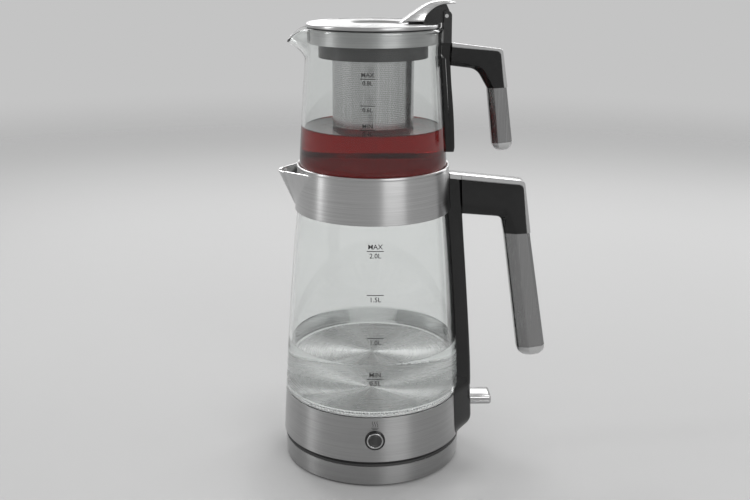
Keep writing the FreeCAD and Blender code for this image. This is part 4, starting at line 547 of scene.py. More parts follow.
teapotSizes = {
    "bottom": 254.2,
    "lowRadius": 61.4,
    "corner": 5.0,
    "side": 259.2,
    "neckRadius": 55.2,
    "neck": 350.0,
    "bow": 0.4,
    "rim": 370.9,
    "bead": 0.6,
    "beadPlace": 0.93,
    "beadSpread": 0.05,
    "wall": 2.8,
    "floor": 3.4,
    "floorTop": 265.0,
    "inCorner": 3.6,
    "lipOut": 14.1,
    "lipCurve": 1.9,
    "lipDrop": 11.4,
    "lipFoot": 345.0,
    "lipAngle": 31.0,
    "lipThin": 0.25,
    "lipThinOver": 20.0,
    "crest": 0.75,
    "wallRows": 14,
    "lipRows": 18,
    "crestSteps": 6,
    "steps": 216,
}


def potRadius(level):
    sizes = teapotSizes
    share = min((level - sizes["side"]) / (sizes["neck"] - sizes["side"]), 1.0)
    taper = sizes["lowRadius"] - sizes["neckRadius"]
    return sizes["lowRadius"] - taper * share + 4.0 * sizes["bow"] * share * (1.0 - share)


# The inside of the teapot's floor and its corner, as (radius, level); grow moves it into the glass
def potFloor(grow):
    sizes = teapotSizes
    inner = sizes["lowRadius"] - sizes["wall"] + grow
    level = sizes["bottom"] + sizes["floor"] - grow
    top = sizes["floorTop"]
    return softened([(0.0, level), (inner, level, sizes["inCorner"]),
                     (potRadius(top) - sizes["wall"] + grow, top)], steps=6)


# The teapot's outer line where the rim is pulled out by a share of the whole lip
def potOuterLine(sizes, low, pull):
    line = list(low)
    rim = sizes["rim"] - sizes["lipDrop"] * pull ** 2
    for row in range(1, sizes["lipRows"] + 1):
        share = row / sizes["lipRows"]
        level = between(sizes["lipFoot"], rim, share)
        straight = between(sizes["lipFoot"], sizes["rim"], share)
        swell = math.exp(-((share - sizes["beadPlace"]) / sizes["beadSpread"]) ** 2)
        bead = sizes["bead"] * swell * (1.0 - pull)
        reach = potRadius(straight) + bead + sizes["lipOut"] * pull * share ** sizes["lipCurve"]
        line.append((reach, level))
    return line


# The inner line, one wall away from the outer one, over the inside of the floor
def potInnerLine(sizes, outer, first, pull):
    line = potFloor(0.0)
    for index in range(first, len(outer)):
        before = Vector(outer[index - 1])
        after = Vector(outer[min(index + 1, len(outer) - 1)])
        along = (after - before).normalized()
        rise = max(0.0, outer[index][1] - sizes["lipFoot"]) / sizes["lipThinOver"]
        thick = sizes["wall"] * (1.0 - sizes["lipThin"] * pull * rise)
        spot = Vector(outer[index]) + Vector((-along.y, along.x)) * thick
        line.append((spot.x, spot.y))
    return line


def makeTeapotGlass(sizes):
    low = softened([(0.0, sizes["bottom"]), (sizes["lowRadius"], sizes["bottom"], sizes["corner"]),
                    (potRadius(sizes["floorTop"]), sizes["floorTop"])], steps=6)
    wall = evenly(sizes["floorTop"], sizes["lipFoot"], sizes["wallRows"])[1:]
    below = low + [(potRadius(level), level) for level in wall]
    lines = []
    for angle in turns(sizes["steps"]):
        away = abs(angle - math.pi) / math.radians(sizes["lipAngle"])
        pull = (1.0 + math.cos(math.pi * away)) / 2.0 if away < 1.0 else 0.0
        outer = potOuterLine(sizes, below, pull)
        inner = potInnerLine(sizes, outer, len(low), pull)
        middle = (Vector(outer[-1]) + Vector(inner[-1])) / 2.0
        half = Vector(outer[-1]) - middle
        crest = Vector((-half.y, half.x)) * sizes["crest"]
        rounding = [middle + half * math.cos(turn) + crest * math.sin(turn)
                    for turn in evenly(0.0, math.pi, sizes["crestSteps"])[1:-1]]
        lines.append(turnedLine(outer + [tuple(spot) for spot in rounding] + inner[::-1], angle))
    placePiece("teapotGlass", wrappedMesh(lines, False), "teapot", "teapot_glass",
               ("teapot_glass", "teapot_floor", "teapot_lip"))


makeTeapotGlass(teapotSizes)
print("glass")


# Water and tea: each reaches a little into its glass, and its surface climbs at the wall

liquidSizes = {"into": 0.12, "climb": 0.7, "curve": 0.7, "lift": 0.15, "reach": 1.8, "rows": 8}
waterSizes = {"level": 107.6, "gasket": 66.3, "plateGap": 0.1}
teaSizes = {"level": 291.8}


def liquidSurface(edge, level):
    sizes = liquidSizes
    return [(edge, level + sizes["climb"]), (edge - sizes["curve"], level + sizes["lift"]),
            (edge - sizes["reach"], level), (0.0, level)]


def makeWater(sizes):
    wall = kettleGlassSizes["wall"] - liquidSizes["into"]
    plateHigh = span("heating_plate")[1]
    bottom = plateHigh[2] - liquidSizes["into"]
    edge = plateHigh[0] + sizes["plateGap"]
    side = [(glassRadius(level) - wall, level)
            for level in evenly(sizes["gasket"], sizes["level"], liquidSizes["rows"])]
    outline = [(0.0, bottom), (edge, bottom), (edge, sizes["gasket"])] + side
    outline += liquidSurface(side[-1][0], sizes["level"])
    placePiece("water", turnedMesh(outline, closed=False), "kettle", "water")


def makeTea(sizes):
    wall = teapotSizes["wall"] - liquidSizes["into"]
    rows = evenly(teapotSizes["floorTop"], sizes["level"], liquidSizes["rows"])[1:]
    outline = potFloor(liquidSizes["into"]) + [(potRadius(level) - wall, level) for level in rows]
    outline += liquidSurface(outline[-1][0], sizes["level"])
    placePiece("tea", turnedMesh(outline, closed=False), "teapot", "tea")


makeWater(waterSizes)
makeTea(teaSizes)
print("water and tea")


# Kettle's collar with its rolled rim and the window behind the spout

collarSizes = {
    "taper": 2.4,
    "sheet": 1.0,
    "roll": 0.55,
    "rollTop": 1.9,
    "rollFoot": 2.4,
    "rimInner": 61.95,
    "rimDepth": 2.2,
    "underRim": 2.6,
    "play": 0.3,
    "window": (236.0, 247.6),
    "windowAngle": 13.0,
    "windowReach": (-50.0, -80.0),
}
collarLow, collarHigh = span("kettle_collar")


def makeCollar(sizes):
    low, top = collarLow[2], collarHigh[2]
    foot = collarHigh[0]
    head = foot - sizes["taper"]
    rolled = head + sizes["roll"]
    outline = softened([
        (foot - sizes["sheet"], low, 0.3),
        (foot, low, 0.4),
        (head + 0.05, top - sizes["rollFoot"], 0.8),
        (rolled, top - sizes["rollTop"], 0.5),
        (rolled, top, 0.85),
        (sizes["rimInner"], top, 0.7),
        (sizes["rimInner"], top - sizes["rimDepth"], 0.3),
        (head - sizes["sheet"] - sizes["play"], top - sizes["underRim"], 0.3),
    ])
    slope = math.tan(math.radians(sizes["windowAngle"]))
    near, far = sizes["windowReach"]
    ring = [(near, near * slope), (far, far * slope), (far, -far * slope), (near, -near * slope)]
    window = loftedMesh([[(x, y, level) for x, y in ring] for level in sizes["window"]])
    mesh = carve(turnedMesh(outline, steps=192), window)
    placePiece("kettleCollar", mesh, "kettle", "collar_steel", ("kettle_collar",))


makeCollar(collarSizes)


# Kettle's spout: two folded walls that meet in a nose, round at the top and sharp at the foot

spoutSizes = {
    "foot": 224.8,
    "tip": (79.0, 254.4),
    "fold": (73.6, 10.0),
    "mouthAngle": 41.2,
    "mouthLevel": 256.9,
    "spread": 0.42,
    "sink": 0.25,
    "least": 1e-4,
    "wall": 1.0,
    "rim": 0.7,
    "rimSides": 10,
    "rows": 24,
    "noseSteps": 20,
    "wallSteps": 12,
}


def collarRadius(level):
    share = (level - collarLow[2]) / (collarHigh[2] - collarLow[2])
    return collarHigh[0] - collarSizes["taper"] * share


# One level of the spout: from the collar along a flat wall to the fold, round the nose, and back
def spoutRow(sizes, share):
    level = between(sizes["foot"], sizes["mouthLevel"], share)
    root = collarRadius(level) - sizes["sink"]
    turn = math.radians(sizes["mouthAngle"]) * share ** sizes["spread"]
    end = Vector(around(-root, turn))
    foot = collarRadius(sizes["foot"])
    tip = between(foot, sizes["tip"][0], share)
    fold = Vector((-between(foot, sizes["fold"][0], share), -sizes["fold"][1] * share))
    wall = [end.lerp(fold, step / sizes["wallSteps"]) for step in range(sizes["wallSteps"])]
    bulge = max(tip + fold.x, sizes["least"])
    radius = (fold.y ** 2 + bulge ** 2) / (2.0 * bulge)
    half = math.asin(min(-fold.y / radius, 1.0))
    nose = [Vector((radius - tip - radius * math.cos(angle), -radius * math.sin(angle)))
            for angle in evenly(half, -half, sizes["noseSteps"])]
    points = wall + nose + [Vector((spot.x, -spot.y)) for spot in wall[::-1]]
    drop = (sizes["mouthLevel"] - sizes["tip"][1]) * share
    width = max(tip + end.x, sizes["least"])
    return [(spot.x, spot.y, level - drop * min(max((end.x - spot.x) / width, 0.0), 1.0)) for spot in points]


# The outer skin of the spout, facing the inside, so that its wall grows inward
def spoutSkin(rows):
    count = len(rows[0])
    faces = [(row * count + index, row * count + index + 1,
              (row + 1) * count + index + 1, (row + 1) * count + index)
             for row in range(len(rows) - 1) for index in range(count - 1)]
    mesh = meshFrom([point for row in rows for point in row], faces)
    work = bmesh.new()
    work.from_mesh(mesh)
    bmesh.ops.remove_doubles(work, verts=work.verts, dist=1e-6)
    bmesh.ops.recalc_face_normals(work, faces=work.faces)
    if sum(face.normal.x * face.calc_area() for face in work.faces) > 0.0:
        bmesh.ops.reverse_faces(work, faces=work.faces)
    work.to_mesh(mesh)
    work.free()
    return mesh


def makeSpout(sizes):
    rows = [spoutRow(sizes, share) for share in evenly(0.0, 1.0, sizes["rows"])]
    blank = addObject("blank", spoutSkin(rows))
    thick = blank.modifiers.new("wall", "SOLIDIFY")
    thick.thickness = sizes["wall"] * 0.001
    thick.offset = -1.0
    placePiece("kettleSpout", takeMesh(blank), "kettle", "spout_steel", ("kettle_spout",), sharp=12.0)


# The bright rolled edge along the spout's mouth
def makeSpoutRim(sizes):
    line = spoutRow(sizes, 1.0)
    up = Vector((0.0, 0.0, 1.0))
    rings = []
    for index, spot in enumerate(line):
        before = Vector(line[max(index - 1, 0)])
        after = Vector(line[min(index + 1, len(line) - 1)])
        side = (after - before).cross(up).normalized()
        inward = side if side.x >= 0.0 else -side
        middle = Vector(spot) + inward * (sizes["wall"] * 0.5)
        rings.append([tuple(middle + (side * math.cos(turn) + up * math.sin(turn)) * sizes["rim"])
                      for turn in turns(sizes["rimSides"])])
    placePiece("spoutRim", loftedMesh(rings), "kettle", "trim_chrome")


makeSpout(spoutSizes)
makeSpoutRim(spoutSizes)
print("collar and spout")


# Heating plate and the ribbed ring round it

plateSizes = {"edge": 0.9, "lip": 1.4, "thick": 2.4}
gasketSizes = {
    "ribs": 150,
    "ribWidth": 1.4,
    "ribHeight": 3.4,
    "ribDepth": 1.5,
    "ribLift": 0.1,
    "ribSides": 8,
    "wall": 2.4,
    "ring": 1.5,
    "play": 0.3,
}


def makeHeatingPlate(sizes):
    low, high = span("heating_plate")
    inner, under = high[0] - sizes["lip"], high[2] - sizes["thick"]
    outline = softened([(0.0, under), (inner, under, 0.4), (inner, low[2], 0.2), (high[0], low[2], 0.3),
                        (high[0], high[2], sizes["edge"]), (0.0, high[2])], steps=5)
    mesh = turnedMesh(outline, closed=False)
    placePiece("heatingPlate", mesh, "kettle", "heater_plate", ("heating_plate",))


# One rib, copied round a circle by a node tree with named inputs
def makeRibTree(material, sides):
    tree = bpy.data.node_groups.new("gasketRibs", "GeometryNodeTree")
    tree.interface.new_socket("Count", in_out="INPUT", socket_type="NodeSocketInt")
    for title in ("Radius", "Width", "Height", "Depth", "Level"):
        tree.interface.new_socket(title, in_out="INPUT", socket_type="NodeSocketFloat")
    tree.interface.new_socket("Geometry", in_out="OUTPUT", socket_type="NodeSocketGeometry")
    given = tree.nodes.new("NodeGroupInput").outputs
    target = tree.nodes.new("NodeGroupOutput")
    circle = addNode(tree, "GeometryNodeMeshCircle", {"Vertices": given["Count"], "Radius": given["Radius"]})
    place = addNode(tree, "GeometryNodeInputPosition")
    aim = addNode(tree, "FunctionNodeAlignEulerToVector", {"Vector": place.outputs[0]}, axis="X")
    rib = addNode(tree, "GeometryNodeMeshCylinder", {"Vertices": sides, "Radius": 0.5, "Depth": 1.0})
    shape = addNode(tree, "ShaderNodeCombineXYZ", {0: given["Depth"], 1: given["Width"], 2: given["Height"]})
    copies = addNode(tree, "GeometryNodeInstanceOnPoints", {
        "Points": circle.outputs["Mesh"],
        "Instance": rib.outputs["Mesh"],
        "Rotation": aim.outputs["Rotation"],
        "Scale": shape.outputs[0],
    })
    lift = addNode(tree, "ShaderNodeCombineXYZ", {2: given["Level"]})
    raised = addNode(tree, "GeometryNodeTranslateInstances", {
        "Instances": copies.outputs["Instances"], "Translation": lift.outputs[0], "Local Space": False})
    real = addNode(tree, "GeometryNodeRealizeInstances", {0: raised.outputs[0]})
    coloured = addNode(tree, "GeometryNodeSetMaterial", {"Geometry": real.outputs[0], "Material": material})
    tree.links.new(coloured.outputs[0], target.inputs["Geometry"])
    return tree


# Runs a node tree with the given inputs and hands back its plain mesh
def meshFromTree(tree, values):
    holder = addObject("holder", bpy.data.meshes.new("holder"))
    nodes = holder.modifiers.new("nodes", "NODES")
    nodes.node_group = tree
    sockets = [item for item in tree.interface.items_tree if item.in_out == "INPUT"]
    identifiers = {item.name: item.identifier for item in sockets}
    for title, value in values.items():
        nodes[identifiers[title]] = value
    return takeMesh(holder)


def makeGasket(sizes):
    low, high = span("lower_gasket")
    outer = high[0] - sizes["play"]
    inner = outer - sizes["wall"]
    top = low[2] + sizes["ring"]
    outline = softened([(inner, low[2], 0.2), (outer, low[2], 0.3), (outer, top, 0.5), (inner, top, 0.5)])
    placePiece("gasketRing", turnedMesh(outline), "kettle", "clear_silicone", ("lower_gasket",))
    mesh = meshFromTree(makeRibTree(materials["clear_silicone"], sizes["ribSides"]), {
        "Count": sizes["ribs"],
        "Radius": (outer - sizes["ribDepth"] * 0.5) * 0.001,
        "Width": sizes["ribWidth"] * 0.001,
        "Height": sizes["ribHeight"] * 0.001,
        "Depth": sizes["ribDepth"] * 0.001,
        "Level": ((low[2] + high[2]) * 0.5 + sizes["ribLift"]) * 0.001,
    })
    placePiece("gasketRibs", mesh, "kettle", "clear_silicone")


makeHeatingPlate(plateSizes)
makeGasket(gasketSizes)
print("heating plate and gasket")


# Spines: the kettle's follows the glass and the collar and joins the arm at a seam

bandSizes = {"lowRadius": 77.9, "highRadius": 75.9}
housingSizes = {
    "half": 31.0,
    "faceHalf": 13.0,
    "low": 24.4,
    "high": 62.55,
    "reachLow": 88.0,
    "reachHigh": 86.2,
    "corner": 7.0,
    "foot": 11.0,
    "footTaper": 0.35,
    "faceTaper": 0.1,
    "footRows": 9,
    "rows": 6,
    "gap": 0.12,
    "slotLow": (70.0, -11.4, 41.2),
    "slotHigh": (95.0, 11.4, 53.2),
}
spineSizes = {
    "reaches": [(62.6, 86.2), (92.6, 84.9), (156.0, 80.3), (217.0, 75.4), (250.9, 73.5)],
    "lowHalf": 18.0,
    "topHalf": 10.0,
    "corner": 4.5,
    "topCorner": 3.0,
    "gap": 0.12,
    "chamfer": 2.6,
    "flare": 16.0,
    "flareCurve": 2.4,
    "step": 0.2,
    "flareRows": 10,
    "glassRows": 24,
    "collarRows": 8,
}
potSpineSizes = {
    "reaches": [(270.6, 67.2), (273.0, 67.6), (300.0, 66.2), (341.0, 62.6), (359.6, 63.3)],
    "half": 7.0,
    "corner": 2.4,
    "gap": 0.12,
    "mountGap": 3.2,
    "mountEdge": 0.5,
    "rows": 28,
}


# A ring of the spine at a level: round on the inside, with two soft corners outside
def spineRing(level, inner, reach, root, face, corner, steps=12):
    turn = math.asin(min(root / inner, 1.0))
    arc = [around(inner, angle) for angle in evenly(-turn, turn, steps)]
    shape = softened(arc + [(reach, face, corner), (reach, -face, corner)])
    return [(x, y, level) for x, y in shape]


def makeKettleSpine(sizes):
    knots = sizes["reaches"]
    low, top = knots[0][0], knots[-1][0]
    seam = collarLow[2]
    levels = evenly(low, low + sizes["flare"], sizes["flareRows"])[:-1]
    levels += evenly(low + sizes["flare"], seam - sizes["step"], sizes["glassRows"])
    levels += evenly(seam, top - sizes["chamfer"], sizes["collarRows"])
    rings = []
    for level in levels:
        plain = between(sizes["lowHalf"], sizes["topHalf"], (level - low) / (top - low))
        rise = min((level - low) / sizes["flare"], 1.0)
        ease = (1.0 - rise) ** sizes["flareCurve"]
        root = between(plain, housingSizes["half"], ease)
        face = between(plain, housingSizes["faceHalf"], ease)
        corner = between(sizes["corner"], housingSizes["corner"], ease)
        inner = sizes["gap"] + (glassRadius(level) if level < seam else collarRadius(level))
        rings.append(spineRing(level, inner, smoothAt(knots, level), root, face, corner))
    half = sizes["topHalf"] - sizes["chamfer"]
    inner = collarRadius(top) + sizes["gap"]
    rings.append(spineRing(top, inner, smoothAt(knots, top), half, half, sizes["topCorner"]))
    placePiece("kettleSpine", loftedMesh(rings), "kettle", "handle_gloss", ("kettle_spine",))


def makePotSpine(sizes):
    knots = sizes["reaches"]
    mountLow, mountHigh = span("teapot_handle_mount")
    mount = (mountLow[2] - sizes["mountEdge"], mountHigh[2] + sizes["mountEdge"])
    half = sizes["half"]
    rings = []
    for level in evenly(knots[0][0], knots[-1][0], sizes["rows"]):
        inner = potRadius(level) + sizes["mountGap" if mount[0] < level < mount[1] else "gap"]
        rings.append(spineRing(level, inner, smoothAt(knots, level), half, half, sizes["corner"]))
    placePiece("potSpine", loftedMesh(rings), "teapot", "pot_handle_gloss", ("teapot_spine",))


makeKettleSpine(spineSizes)
makePotSpine(potSpineSizes)


# Switch housing and paddle

paddleSizes = {
    "corner": 2.6,
    "start": 0.8,
    "end": 2.6,
    "endRows": 6,
    "taper": 0.6,
    "groove": 0.7,
    "grooveHalf": 0.55,
    "pinRadius": 1.62,
    "pinSides": 24,
    "boreHalf": 16.0,
}


def makeHousing(sizes):
    low, high, foot = sizes["low"], sizes["high"], sizes["foot"]
    levels = [(low + foot * (1.0 - math.cos(turn)), foot * (1.0 - math.sin(turn)))
              for turn in evenly(0.0, math.pi / 2.0, sizes["footRows"])]
    levels += [(level, 0.0) for level in evenly(low + foot, high, sizes["rows"])[1:]]
    rings = []
    for level, inset in levels:
        share = (level - low) / (high - low)
        inner = between(bandSizes["lowRadius"], bandSizes["highRadius"], share)
        reach = between(sizes["reachLow"], sizes["reachHigh"], share) - inset
        half = sizes["half"] - inset * sizes["footTaper"]
        face = sizes["faceHalf"] - inset * sizes["faceTaper"]
        rings.append(spineRing(level, inner + sizes["gap"], reach, half, face, sizes["corner"]))
    mesh = carve(loftedMesh(rings), loftedBox(sizes["slotLow"], sizes["slotHigh"]))
    placePiece("switchHousing", mesh, "kettle", "handle_gloss", ("switch_housing",))


# The paddle's section at a place: rounded corners, and a groove along each side
def paddleRing(sizes, across, side, bottom, top):
    middle, tall = (bottom + top) / 2.0, sizes["grooveHalf"]
    floor = side - sizes["groove"]
    half = [(side, bottom, sizes["corner"]), (side, middle - tall, 0.3), (floor, middle - tall * 0.5, 0.2),
            (floor, middle + tall * 0.5, 0.2), (side, middle + tall, 0.3), (side, top, sizes["corner"])]
    shape = softened(half + [(-y, z, radius) for y, z, radius in half[::-1]], steps=5)
    return [(across, y, z) for y, z in shape]


def makePaddle(sizes):
    low, high = span("power_paddle")
    start, end = sizes["start"], sizes["end"]
    places = [(low[0], start), (low[0] + start, 0.0)]
    places += [(high[0] - end + end * math.sin(turn), end * (1.0 - math.cos(turn)))
               for turn in evenly(0.0, math.pi / 2.0, sizes["endRows"])]
    rings = []
    for across, inset in places:
        slim = inset * sizes["taper"]
        rings.append(paddleRing(sizes, across, high[1] - inset, low[2] + slim, high[2] - slim))
    pinLow, pinHigh = span("paddle_pin")
    centre = [(pinLow[side] + pinHigh[side]) / 2.0 for side in (0, 2)]
    circle = [around(sizes["pinRadius"], turn, centre) for turn in turns(sizes["pinSides"])]
    bore = [[(x, y, z) for x, z in circle] for y in (-sizes["boreHalf"], sizes["boreHalf"])]
    mesh = carve(loftedMesh(rings), loftedMesh(bore))
    placePiece("powerPaddle", mesh, "paddle", "paddle_steel", ("power_paddle",))


makeHousing(housingSizes)
makePaddle(paddleSizes)
print("spines and switch")


# Handles: an arm between an outer and an inner line, a bright strip over its outer side, and a steel grip

kettleHandleSizes = {
    "body": "kettle",
    "outer": [(73.6, 250.6), (127.0, 245.1, 4.5), (133.2, 201.0)],
    "inner": [(75.5, 217.0), (108.6, 214.4, 5.0), (111.8, 199.8)],
    "gripOuter": [(133.2, 201.0), (150.6, 99.4)],
    "gripInner": [(111.8, 199.8), (127.2, 95.8)],
    "half": 10.0,
    "chamfer": 2.6,
    "round": 9.6,
    "dome": 10.4,
    "slots": ("handle_gloss", "trim_chrome", "grip_steel", "cap_steel"),
    "nodes": ("kettle_arm", "kettle_arm_trim", "kettle_grip", "kettle_grip_cap"),
}
potHandleSizes = {
    "body": "teapot",
    "outer": [(63.4, 358.8), (104.2, 354.2, 3.6), (108.8, 323.9)],
    "inner": [(62.6, 341.0), (84.0, 338.4, 13.0), (93.2, 322.8)],
    "gripOuter": [(108.8, 323.9), (115.0, 279.4)],
    "gripInner": [(93.2, 322.8), (98.6, 277.4)],
    "half": 8.0,
    "chamfer": 2.2,
    "round": 5.0,
    "dome": 7.6,
    "slots": ("pot_handle_gloss", "pot_trim_chrome", "pot_grip_steel", "pot_cap_steel"),
    "nodes": ("teapot_arm", "teapot_arm_trim", "teapot_grip", "teapot_grip_cap"),
}
gripSizes = {"inward": 0.52, "rows": 14, "gap": 0.15, "domeAngle": 86.0, "domeRows": 10}
stripSizes = {"high": -0.75, "low": 0.25, "over": 0.06, "down": 0.15, "edge": 0.25, "foot": 0.2, "tuck": 0.1}


# Two lines with the same count of points: runs are divided evenly and corners rounded
def pairedLines(outer, inner, runs=6, arcs=8):
    lines = []
    for corners in (outer, inner):
        soft = softened(corners, steps=arcs)
        line = []
        for index, spot in enumerate(soft):
            line.append(Vector(spot))
            if index in (0, len(soft) - 2):
                after = Vector(soft[index + 1])
                line += [Vector(spot).lerp(after, part / runs) for part in range(1, runs)]
        lines.append(line)
    return lines


# The section of a handle as (aside, depth): bevels on the outer side, slanted facets on the inner one
def handleSection(sizes, thick):
    half, chamfer = sizes["half"], sizes["chamfer"]
    inward, shoulder = half * gripSizes["inward"], thick - sizes["round"]
    return softened([(-half + chamfer, 0.0, 0.6), (half - chamfer, 0.0, 0.6), (half, chamfer, 0.6),
                     (half, shoulder, 1.2), (inward, thick, 3.4), (-inward, thick, 3.4),
                     (-half, shoulder, 1.2), (-half, chamfer, 0.6)], steps=5)


# The section of the bright strip as (aside, depth): over the outer side and down both bevels
def stripSection(half, chamfer):
    sizes = stripSizes
    wide, inside = half + sizes["over"], half - sizes["edge"]
    ridge, tuck = half - chamfer, half - chamfer - sizes["tuck"]
    lip, foot = chamfer + sizes["down"], chamfer + sizes["foot"]
    high, low = sizes["high"], sizes["low"]
    return softened([(-wide, lip), (-ridge, high, 0.7), (ridge, high, 0.7), (wide, lip),
                     (inside, foot), (tuck, low), (-tuck, low), (-inside, foot)])


def sectionRing(outer, inner, shape):
    along = (inner - outer).normalized()
    return [(outer.x + along.x * depth, aside, outer.y + along.y * depth) for aside, depth in shape]


def handleRings(sizes, outer, inner):
    return [sectionRing(first, second, handleSection(sizes, (second - first).length))
            for first, second in zip(outer, inner)]


# The dome that closes the free end of the grip
def capRings(sizes, seam, outerEnd, innerEnd):
    spots = [Vector(spot) for spot in seam]
    centre = sum(spots, Vector()) / len(spots)
    across = (innerEnd - outerEnd).normalized()
    down = Vector((-across.y, 0.0, across.x))
    rings = []
    for turn in evenly(0.0, math.radians(gripSizes["domeAngle"]), gripSizes["domeRows"]):
        top = centre + down * (gripSizes["gap"] + sizes["dome"] * math.sin(turn))
        rings.append([tuple(top + (spot - centre) * math.cos(turn)) for spot in spots])
    return rings


def makeHandle(prefix, sizes):
    outer, inner = pairedLines(sizes["outer"], sizes["inner"])
    section = stripSection(sizes["half"], sizes["chamfer"])
    outerEnds, innerEnds = [[Vector(spot) for spot in sizes[side]] for side in ("gripOuter", "gripInner")]
    shares = evenly(0.0, 1.0, gripSizes["rows"])
    grip = handleRings(sizes, [outerEnds[0].lerp(outerEnds[1], share) for share in shares],
                       [innerEnds[0].lerp(innerEnds[1], share) for share in shares])
    parts = {
        "Arm": handleRings(sizes, outer, inner),
        "Trim": [sectionRing(first, second, section) for first, second in zip(outer, inner)],
        "Grip": grip,
        "Cap": capRings(sizes, grip[-1], outerEnds[1], innerEnds[1]),
    }
    for (part, rings), slot, node in zip(parts.items(), sizes["slots"], sizes["nodes"]):
        placePiece(prefix + part, loftedMesh(rings), sizes["body"], slot, (node,))


makeHandle("kettle", kettleHandleSizes)
makeHandle("pot", potHandleSizes)


# The bright strip on top of the kettle's spine, as far as the seam of the arm

spineTrimSizes = {"start": (64.0, 251.6), "end": (73.35, 250.62)}


def makeSpineTrim(sizes):
    section = stripSection(kettleHandleSizes["half"], kettleHandleSizes["chamfer"])
    rings = [[(across, aside, level - depth) for aside, depth in section]
             for across, level in (sizes["start"], sizes["end"])]
    placePiece("spineTrim", loftedMesh(rings), "kettle", "trim_chrome", ("kettle_spine_trim",))


makeSpineTrim(spineTrimSizes)
print("handles")


# Lid and lever

lidSizes = {
    "dish": 26.5,
    "dishDepth": 1.6,
    "dishSlope": 2.2,
    "sheet": 0.9,
    "roll": 3.0,
    "groove": 0.9,
    "rise": 0.6,
    "bead": 0.35,
    "skirt": 3.0,
    "skirtDepth": 1.6,
    "underside": 372.2,
}
leverSizes = {
    "top": [(0.0, 20.6, 374.9), (1.0, 23.8, 377.3), (2.0, 29.3, 381.1), (3.0, 37.3, 386.6),
            (4.0, 45.2, 390.9), (5.0, 53.2, 392.4), (6.0, 60.0, 392.3), (7.0, 65.2, 391.5)],
    "under": [(0.0, 39.9, 374.7), (1.0, 40.6, 377.6), (2.0, 42.2, 381.2), (3.0, 46.2, 385.3),
              (4.0, 50.2, 388.0), (5.0, 54.6, 389.6), (6.0, 60.2, 390.3), (7.0, 65.2, 390.4)],
    "half": [(0.0, 2.6), (0.15, 6.0), (0.4, 9.0), (0.8, 10.4), (1.4, 10.3), (2.2, 9.4), (3.2, 9.0),
             (5.0, 9.2), (6.4, 9.4), (7.0, 7.4)],
    "rows": 56,
    "edge": 1.1,
    "thinEdge": 0.45,
}


def makeLid(sizes):
    low, high = span("lid_plate")
    top, edge, sheet = high[2], high[0], sizes["sheet"]
    rim, roll, bead = sizes["dish"] + sizes["dishSlope"], edge - sizes["roll"], sizes["bead"]
    dish = top - sizes["dishDepth"]
    outline = softened([
        (0.0, dish),
        (sizes["dish"], dish, 1.6),
        (rim, top, 1.2),
        (roll - sizes["groove"], top, 0.6),
        (roll, top - bead, 0.5),
        (roll + sizes["rise"], top + bead, 1.0),
        (edge, top + bead, 1.6),
        (edge, sizes["underside"], 0.8),
        (edge - sheet, sizes["underside"], 0.3),
        (edge - sheet, low[2] + sizes["skirtDepth"], 0.4),
        (edge - sizes["skirt"], top - sheet, 0.5),
        (rim, top - sheet, 0.8),
        (sizes["dish"], dish - sheet, 0.8),
        (0.0, dish - sheet),
    ], steps=5)
    mesh = turnedMesh(outline, steps=192, closed=False)
    placePiece("lidPlate", mesh, "lid", "lid_steel", ("lid_plate",))


def makeLever(sizes):
    rings = []
    for place in evenly(0.0, sizes["top"][-1][0], sizes["rows"]):
        first, second = [Vector((smoothAt(sizes[line], place, 1), smoothAt(sizes[line], place, 2)))
                         for line in ("top", "under")]
        half = smoothAt(sizes["half"], place)
        thick = (second - first).length
        edge = min(sizes["edge"], thick * sizes["thinEdge"])
        shape = softened([(-half, 0.0, edge), (half, 0.0, edge), (half, thick, edge), (-half, thick, edge)])
        rings.append(sectionRing(first, second, shape))
    placePiece("lidLever", loftedMesh(rings), "lid", "lever_steel", ("lid_lever",), sharp=40.0)


makeLid(lidSizes)
makeLever(leverSizes)
print("lid")


# Keep-warm button

buttonSizes = {
    "level": 43.3,
    "front": 78.9,
    "back": 71.7,
    "bezel": 8.3,
    "bezelWall": 1.3,
    "ring": 7.0,
    "ringWall": 1.65,
    "ringOut": 0.45,
    "ringIn": 0.1,
    "cap": 5.15,
    "capBack": 71.4,
    "capOut": 0.55,
    "capRim": 1.2,
    "dish": 0.25,
    "dishEdge": 1.7,
    "steps": 64,
}


# A mesh turned about the button's axis, from (radius, distance towards the front)
def facingMesh(outline, sizes, closed=True):
    mesh = turnedMesh(softened(outline), steps=sizes["steps"], closed=closed)
    for vertex in mesh.vertices:
        across, up, out = vertex.co
        vertex.co = (across, -out, up + sizes["level"] * 0.001)
    return mesh


def makeButton(sizes):
    front, back = sizes["front"], sizes["back"]
    bezel, ring, cap = sizes["bezel"], sizes["ring"], sizes["cap"]
    bezelIn, ringIn = bezel - sizes["bezelWall"], ring - sizes["ringWall"]
    mesh = facingMesh([(bezelIn, back), (bezel, back), (bezel, front, 0.7), (bezelIn, front, 0.5)], sizes)
    placePiece("buttonBezel", mesh, "kettle", "button_black", ("button_bezel",))
    mesh = facingMesh([(ringIn, back), (ring, back), (ring, front + sizes["ringOut"], 0.6),
                       (ringIn, front + sizes["ringIn"], 0.5)], sizes)
    placePiece("buttonRing", mesh, "kettle", "button_chrome", ("button_ring",))
    capBack, capFront = sizes["capBack"], front + sizes["capOut"]
    dish = capFront - sizes["dish"]
    mesh = facingMesh([(0.0, capBack), (cap, capBack), (cap, capFront, 0.5),
                       (cap - sizes["capRim"], capFront, 0.4), (cap - sizes["dishEdge"], dish, 0.4),
                       (0.0, dish)], sizes, closed=False)
    placePiece("buttonCap", mesh, "button", "button_cap", ("warm_button",))


makeButton(buttonSizes)
print("button")


# Printed marks: words, numbers and lines wrapped on a round wall

